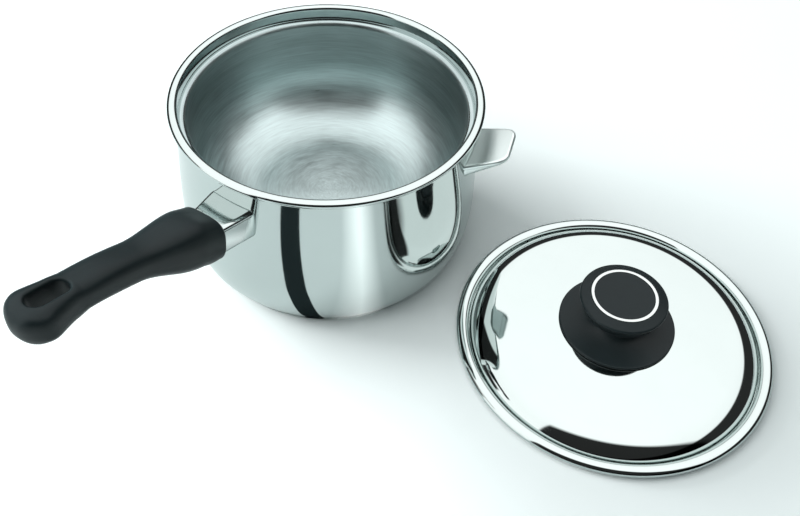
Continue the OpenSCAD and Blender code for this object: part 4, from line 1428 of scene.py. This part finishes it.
class Band:
    """A straight band on the floor, in the view's frame: its middle line from near to far and its
    half width at both ends. Only metal sees it, so it is a painted reflection: the wall mirrors
    it as an upright stripe."""

    def __init__(self, near, far, half_near, half_far, soft):
        self.near, self.far = near, far
        self.half_near, self.half_far = half_near, half_far
        self.soft = soft

    def mask(self, across, away):
        """One inside the band and none outside, fading over soft. Along its length it goes
        BAND_PAST of that length past both ends, and fades there over one part in BAND_SLOPE."""
        along = (away - self.near[1])/(self.far[1] - self.near[1])
        middle = along*(self.far[0] - self.near[0]) + self.near[0]
        half = along*(self.half_far - self.half_near) + self.half_near
        offset = (across - middle).math("ABSOLUTE")
        inside = ((half - offset)/self.soft + 0.5).clamped()
        return (inside*((along + BAND_PAST)*BAND_SLOPE).clamped()
                * ((1.0 + BAND_PAST - along)*BAND_SLOPE).clamped())


# Painted reflections on the floor, seen by metal only: a dark band that paints a dark stripe on the
# wall, and a glowing pale band that paints a highlight on it.
PAINTED_DARK_STRIPE = Band((-8*MM, -86*MM), (-56*MM, -176*MM), 7*MM, 20*MM, 0.6*MM)
PAINTED_PALE_HIGHLIGHT = Band((33*MM, -93*MM), (67*MM, -165*MM), 5*MM, 16*MM, 34*MM)
# Painted reflection: beyond this radius, behind the pot, metal sees the floor turn dark, which paints
# dark outlines on the rims.
PAINTED_DARK_FROM_R = 240*MM
PAINTED_DARK_FADE = 160*MM
FLOOR_HALF = 5.0
FLOOR_BOUNCE = (0.62, 0.64, 0.64)
FLOOR_SEEN = (0.97, 0.985, 0.985)
FLOOR_TO_CAMERA = (1.18, 1.18, 1.18)
# Colour of the painted dark reflections, and strength of the painted glowing highlight.
PAINTED_REFLECTION_DARK = (0.024, 0.032, 0.034)
PAINTED_HIGHLIGHT_GLOW = 0.95


def add_floor(studio):
    """A wide pale floor. Metal and glass see it lighter than light bounces off it, and the camera
    lighter still. Metal alone sees a painted dark band and a painted glowing pale band on it,
    painted reflections which give the wall its upright stripes, and sees it turn dark behind the
    pot, a painted reflection which gives the rims their dark outlines."""
    corners = [(-1, -1), (1, -1), (1, 1), (-1, 1)]
    piece = new_mesh("floor", [(FLOOR_HALF*x, FLOOR_HALF*y, -FLOOR_GAP) for x, y in corners],
                     [[0, 1, 2, 3]])
    shader = material("floor")
    camera_ray, glossy_ray, clear_ray = [
        shader.add("ShaderNodeLightPath", output=name)
        for name in ("Is Camera Ray", "Is Glossy Ray", "Is Transmission Ray")]
    across, away = shader.axes(shader.point(turn=-studio.turn))[:2]
    # Painted reflections: both bands exist for glossy rays only.
    dark = PAINTED_DARK_STRIPE.mask(across, away)*glossy_ray
    pale = PAINTED_PALE_HIGHLIGHT.mask(across, away)*glossy_ray
    seen = (camera_ray + glossy_ray + clear_ray).clamped()
    # Painted reflection: the floor turns dark behind the pot for glossy rays only.
    beyond = (((across*across + away*away)**0.5 - PAINTED_DARK_FROM_R)/PAINTED_DARK_FADE).clamped()*(
        away/PAINTED_DARK_FADE).clamped()*glossy_ray
    tone = shader.tint(seen, FLOOR_BOUNCE, FLOOR_SEEN)
    tone = shader.tint(camera_ray, tone, FLOOR_TO_CAMERA)
    tone = shader.tint(dark.math("MAXIMUM", beyond), tone, PAINTED_REFLECTION_DARK)
    diffuse = shader.add("ShaderNodeBsdfDiffuse", inputs={"Color": tone})
    # The pale band glows for glossy rays only: a painted highlight on the wall.
    painted_glow = shader.add("ShaderNodeEmission", inputs={"Strength": pale*PAINTED_HIGHLIGHT_GLOW})
    both = shader.add("ShaderNodeAddShader", inputs={0: diffuse, 1: painted_glow})
    shader.add("ShaderNodeOutputMaterial", inputs={"Surface": both})
    piece.data.materials.append(shader.owner)


SKY_SIDE = (0.2, 0.25)
SKY_BY_HEIGHT = ((0.35, 0.02), (0.40, 0.9), (1.0, 1.0))
SKY_BY_DEPTH = ((0.26, 0.02), (0.31, 1.0))
WINDOW_BEARING = ((0.10, 0.0), (0.14, 0.95), (0.94, 0.95), (1.0, 0.0))
WINDOW_HEIGHT = ((0.05, 0.0), (0.08, 1.0))
WINDOW_SIDE = ((0.0, 0.0), (0.02, 1.0))


def add_world(studio):
    """Even light from all round, which the camera sees white. Metal sees something else: pale
    above, dark near the horizon and dark behind the camera. At the right the pale part begins
    higher up. At the left, turned towards the camera, a pale window reaches almost down to the
    horizon."""
    world = bpy.data.worlds.new("surround")
    bpy.context.scene.world = world
    shader = Shader(world)
    camera_ray = shader.add("ShaderNodeLightPath", output="Is Camera Ray")
    glossy_ray = shader.add("ShaderNodeLightPath", output="Is Glossy Ray")
    place = shader.add("ShaderNodeTexCoord", output="Generated")
    view = shader.add("ShaderNodeMapping", {"vector_type": "POINT"},
                      {"Vector": place, "Rotation": (0.0, 0.0, -studio.turn)})
    across, away, height = shader.axes(view)
    aside = (across - SKY_SIDE[0]).math("MAXIMUM", 0.0)
    above = shader.ramp(height - aside*SKY_SIDE[1], *SKY_BY_HEIGHT)
    ahead = shader.ramp(away*0.5 + 0.5, *SKY_BY_DEPTH)
    bearing = away/across.math("MINIMUM", -0.01)
    window = shader.ramp(bearing, *WINDOW_BEARING)*shader.ramp(height, *WINDOW_HEIGHT)
    window = window*shader.ramp(across*-1.0, *WINDOW_SIDE)
    sky = (above*ahead).math("MAXIMUM", window)*studio.sky
    seen = shader.tint(glossy_ray, studio.surround, sky)
    tone = shader.tint(camera_ray, seen, (1, 1, 1))
    background = shader.add("ShaderNodeBackground", inputs={"Color": tone, "Strength": 1.0})
    shader.add("ShaderNodeOutputWorld", inputs={"Surface": background})


# Operators

class AddShell(Operator):
    """Add the outer shell with its rolled rim"""
    bl_idname = "simmer.add_shell"
    bl_label = "Outer Shell"

    def execute(self, context):
        scene = context.scene
        look = polished_steel("polished_shell", scene.finishes)
        shape = shell_piece(scene.pot_sizes, scene.spout_sizes)
        add_piece("shell", shape, look, POT, "outer_shell")
        return {"FINISHED"}


class AddVessel(Operator):
    """Add the brushed inner vessel"""
    bl_idname = "simmer.add_vessel"
    bl_label = "Inner Vessel"

    def execute(self, context):
        scene = context.scene
        pot, finish = scene.pot_sizes, scene.finishes
        look = brushed_steel("brushed_vessel", finish.brushed, finish.brushed_roughness,
                             Wall(pot).seat_r - pot.ledge_w + POLISH_IN, finish.ledge_roughness)
        shape = revolved(vessel_profile(pot), sides=VESSEL_SIDES)
        add_piece("vessel", shape, look, POT, "inner_vessel")
        return {"FINISHED"}


class AddBase(Operator):
    """Add the steel cap of the base"""
    bl_idname = "simmer.add_base"
    bl_label = "Base Cap"

    def execute(self, context):
        scene = context.scene
        look = brushed_steel("satin_base", scene.finishes.satin, scene.finishes.satin_roughness)
        shape = revolved(cap_profile(scene.pot_sizes), sides=VESSEL_SIDES)
        add_piece("base", shape, look, POT, "base_cap")
        return {"FINISHED"}


class AddSpout(Operator):
    """Add the filler spout's hood and trough"""
    bl_idname = "simmer.add_spout"
    bl_label = "Filler Spout"

    def execute(self, context):
        scene = context.scene
        pot, spout = scene.pot_sizes, scene.spout_sizes
        # Painted light: the spout's steel is a copy of the polished steel made lighter by 1.35,
        # standing in for brighter reflections.
        look = polished_steel("polished_spout", scene.finishes, ripple=0.05*MM, ripple_scale=45.0,
                              roughness=0.36, lighter=1.35)
        hood = sheet_piece("spout_top", *hood_piece(pot, spout), spout.hood_t, HOOD_EDGE)
        dressed(hood, look, POT, "spout_hood")
        trough = sheet_piece("spout_channel", *trough_piece(pot, spout), spout.trough_t,
                             TROUGH_EDGE)
        dressed(trough, look, POT, "spout_trough")
        return {"FINISHED"}


class AddGuard(Operator):
    """Add the steel guard between the pot and the grip"""
    bl_idname = "simmer.add_guard"
    bl_label = "Handle Guard"

    def execute(self, context):
        scene = context.scene
        look = polished_steel("polished_guard", scene.finishes, ripple=0.09*MM, ripple_scale=60.0,
                              roughness=0.1)
        shape = guard_piece(scene.pot_sizes, scene.handle_sizes)
        add_piece("guard", shape, look, POT, "handle_guard")
        return {"FINISHED"}


class AddGrip(Operator):
    """Add the moulded grip with its hanging slot"""
    bl_idname = "simmer.add_grip"
    bl_label = "Grip"

    def execute(self, context):
        scene = context.scene
        look = moulded_phenolic("moulded_grip", scene.finishes)
        shape = grip_piece(scene.pot_sizes, scene.handle_sizes)
        add_piece("grip", shape, look, POT, "handle_grip")
        return {"FINISHED"}


class AddLid(Operator):
    """Add the lid's steel"""
    bl_idname = "simmer.add_lid"
    bl_label = "Lid"

    def execute(self, context):
        scene = context.scene
        dome = Dome(scene.pot_sizes, scene.lid_sizes)
        profile = lid_profile(scene.pot_sizes, scene.lid_sizes)
        look = polished_steel("polished_lid", scene.finishes, (*dome.centre, 0.0))
        shape = revolved(profile, dome.centre, LID_SIDES, loop=True)
        add_piece("lid_dome", shape, look, LID, "lid_shell")
        return {"FINISHED"}


class AddKnob(Operator):
    """Add the knob: skirt, grip, ring and disc"""
    bl_idname = "simmer.add_knob"
    bl_label = "Knob"

    def execute(self, context):
        scene = context.scene
        pot, lid, knob = scene.pot_sizes, scene.lid_sizes, scene.knob_sizes
        centre = centre_of("lid_shell")
        black = moulded_phenolic("moulded_knob", scene.finishes, (*centre, 0.0))
        shader = material("polished_ring")
        lines = shader.brushing(shader.point((*centre, 0.0)), 3000.0, 6.0)
        bright = shader.surface(Base_Color=scene.finishes.ring, Metallic=1.0,
                                Roughness=lines*0.06 + 0.09, Normal=shader.bump(lines, RING_DEPTH))
        parts = (("knob_skirt", skirt_profile(pot, lid, knob), True, black, "knob_base"),
                 ("knob_cap", knob_profile(lid, knob), False, black, "knob_grip"),
                 ("knob_band", ring_profile(lid, knob), True, bright, "knob_ring"),
                 ("knob_centre", disc_profile(lid, knob), False, black, "knob_disc"))
        for name, profile, loop, look, node in parts:
            slot = "polished_ring" if node == "knob_ring" else "black_phenolic"
            add_piece(name, revolved(profile, centre, KNOB_SIDES, loop), look, LID, node)
        return {"FINISHED"}


class AddFasteners(Operator):
    """Add both screws and finish the hidden metal parts"""
    bl_idname = "simmer.add_fasteners"
    bl_label = "Screws and Hidden Parts"

    def execute(self, context):
        scene = context.scene
        finish, screw = scene.finishes, scene.screw_sizes
        zinc = plain_metal("zinc", finish.zinc, 0.36)
        for node, name, body in (("handle_screw", "grip_bolt", POT), ("knob_screw", "knob_bolt", LID)):
            low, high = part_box(node)
            seat = low.z + screw.head_h
            shape = screw_piece(screw, centre_of(node), seat, high.z - seat)
            add_piece(name, shape, zinc, body, node)
        looks = {"base_core": plain_metal("cast_aluminium", finish.aluminium, 0.45, 400.0),
                 "handle_bracket": plain_metal("satin_bracket", finish.satin, 0.34),
                 "handle_insert": plain_metal("turned_brass", finish.brass, 0.3),
                 "handle_washer": zinc, "knob_washer": zinc}
        looks["knob_insert"] = looks["handle_insert"]
        for node, look in looks.items():
            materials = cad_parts[node].data.materials
            materials.clear()
            materials.append(look)
        return {"FINISHED"}


class AddStudio(Operator):
    """Add the floor, the light and the camera"""
    bl_idname = "simmer.add_studio"
    bl_label = "Studio"

    def execute(self, context):
        studio = context.scene.studio_values
        view = View(studio)
        context.scene.view_settings.view_transform = "Standard"
        add_floor(studio)
        add_world(studio)
        add_lamp("overhead_softbox", view.point(-0.5, -0.5, 2.7), 2.7, 2.7, studio.overhead)
        add_lamp("side_softbox", view.point(-3.4, -0.6, 3.0), 2.8, 2.8, studio.side)
        add_lamp("low_softbox", view.point(-6.0, 2.5, 1.8), 4.5, 3.1, studio.low)
        add_camera(studio, view)
        return {"FINISHED"}


PIECES = (AddShell, AddVessel, AddBase, AddSpout, AddGuard, AddGrip, AddLid, AddKnob, AddFasteners,
          AddStudio)
GROUPS = {"pot_sizes": PotSizes, "spout_sizes": SpoutSizes, "handle_sizes": HandleSizes,
          "lid_sizes": LidSizes, "knob_sizes": KnobSizes, "screw_sizes": ScrewSizes,
          "finishes": Finishes, "studio_values": StudioValues}


class SimmerPanel(Panel):
    """Lists the pieces in the order in which they are made"""
    bl_idname = "VIEW3D_PT_simmer"
    bl_label = "Simmering Pot"
    bl_space_type = "VIEW_3D"
    bl_region_type = "UI"
    bl_category = "Simmering Pot"

    def draw(self, context):
        for piece in PIECES:
            self.layout.operator(piece.bl_idname)


def register():
    """Registers the classes and hangs the properties on the scene."""
    for group in GROUPS.values():
        bpy.utils.register_class(group)
    for name, group in GROUPS.items():
        setattr(bpy.types.Scene, name, PointerProperty(type=group))
    for piece in PIECES:
        bpy.utils.register_class(piece)
    bpy.utils.register_class(SimmerPanel)


def unregister():
    """Undoes register."""
    bpy.utils.unregister_class(SimmerPanel)
    for piece in reversed(PIECES):
        bpy.utils.unregister_class(piece)
    for name in GROUPS:
        delattr(bpy.types.Scene, name)
    for group in reversed(GROUPS.values()):
        bpy.utils.unregister_class(group)


def main():
    """Makes every piece and the studio."""
    register()
    for piece in PIECES:
        group, name = piece.bl_idname.split(".")
        getattr(getattr(bpy.ops, group), name)()


if __name__ == "__main__":
    main()
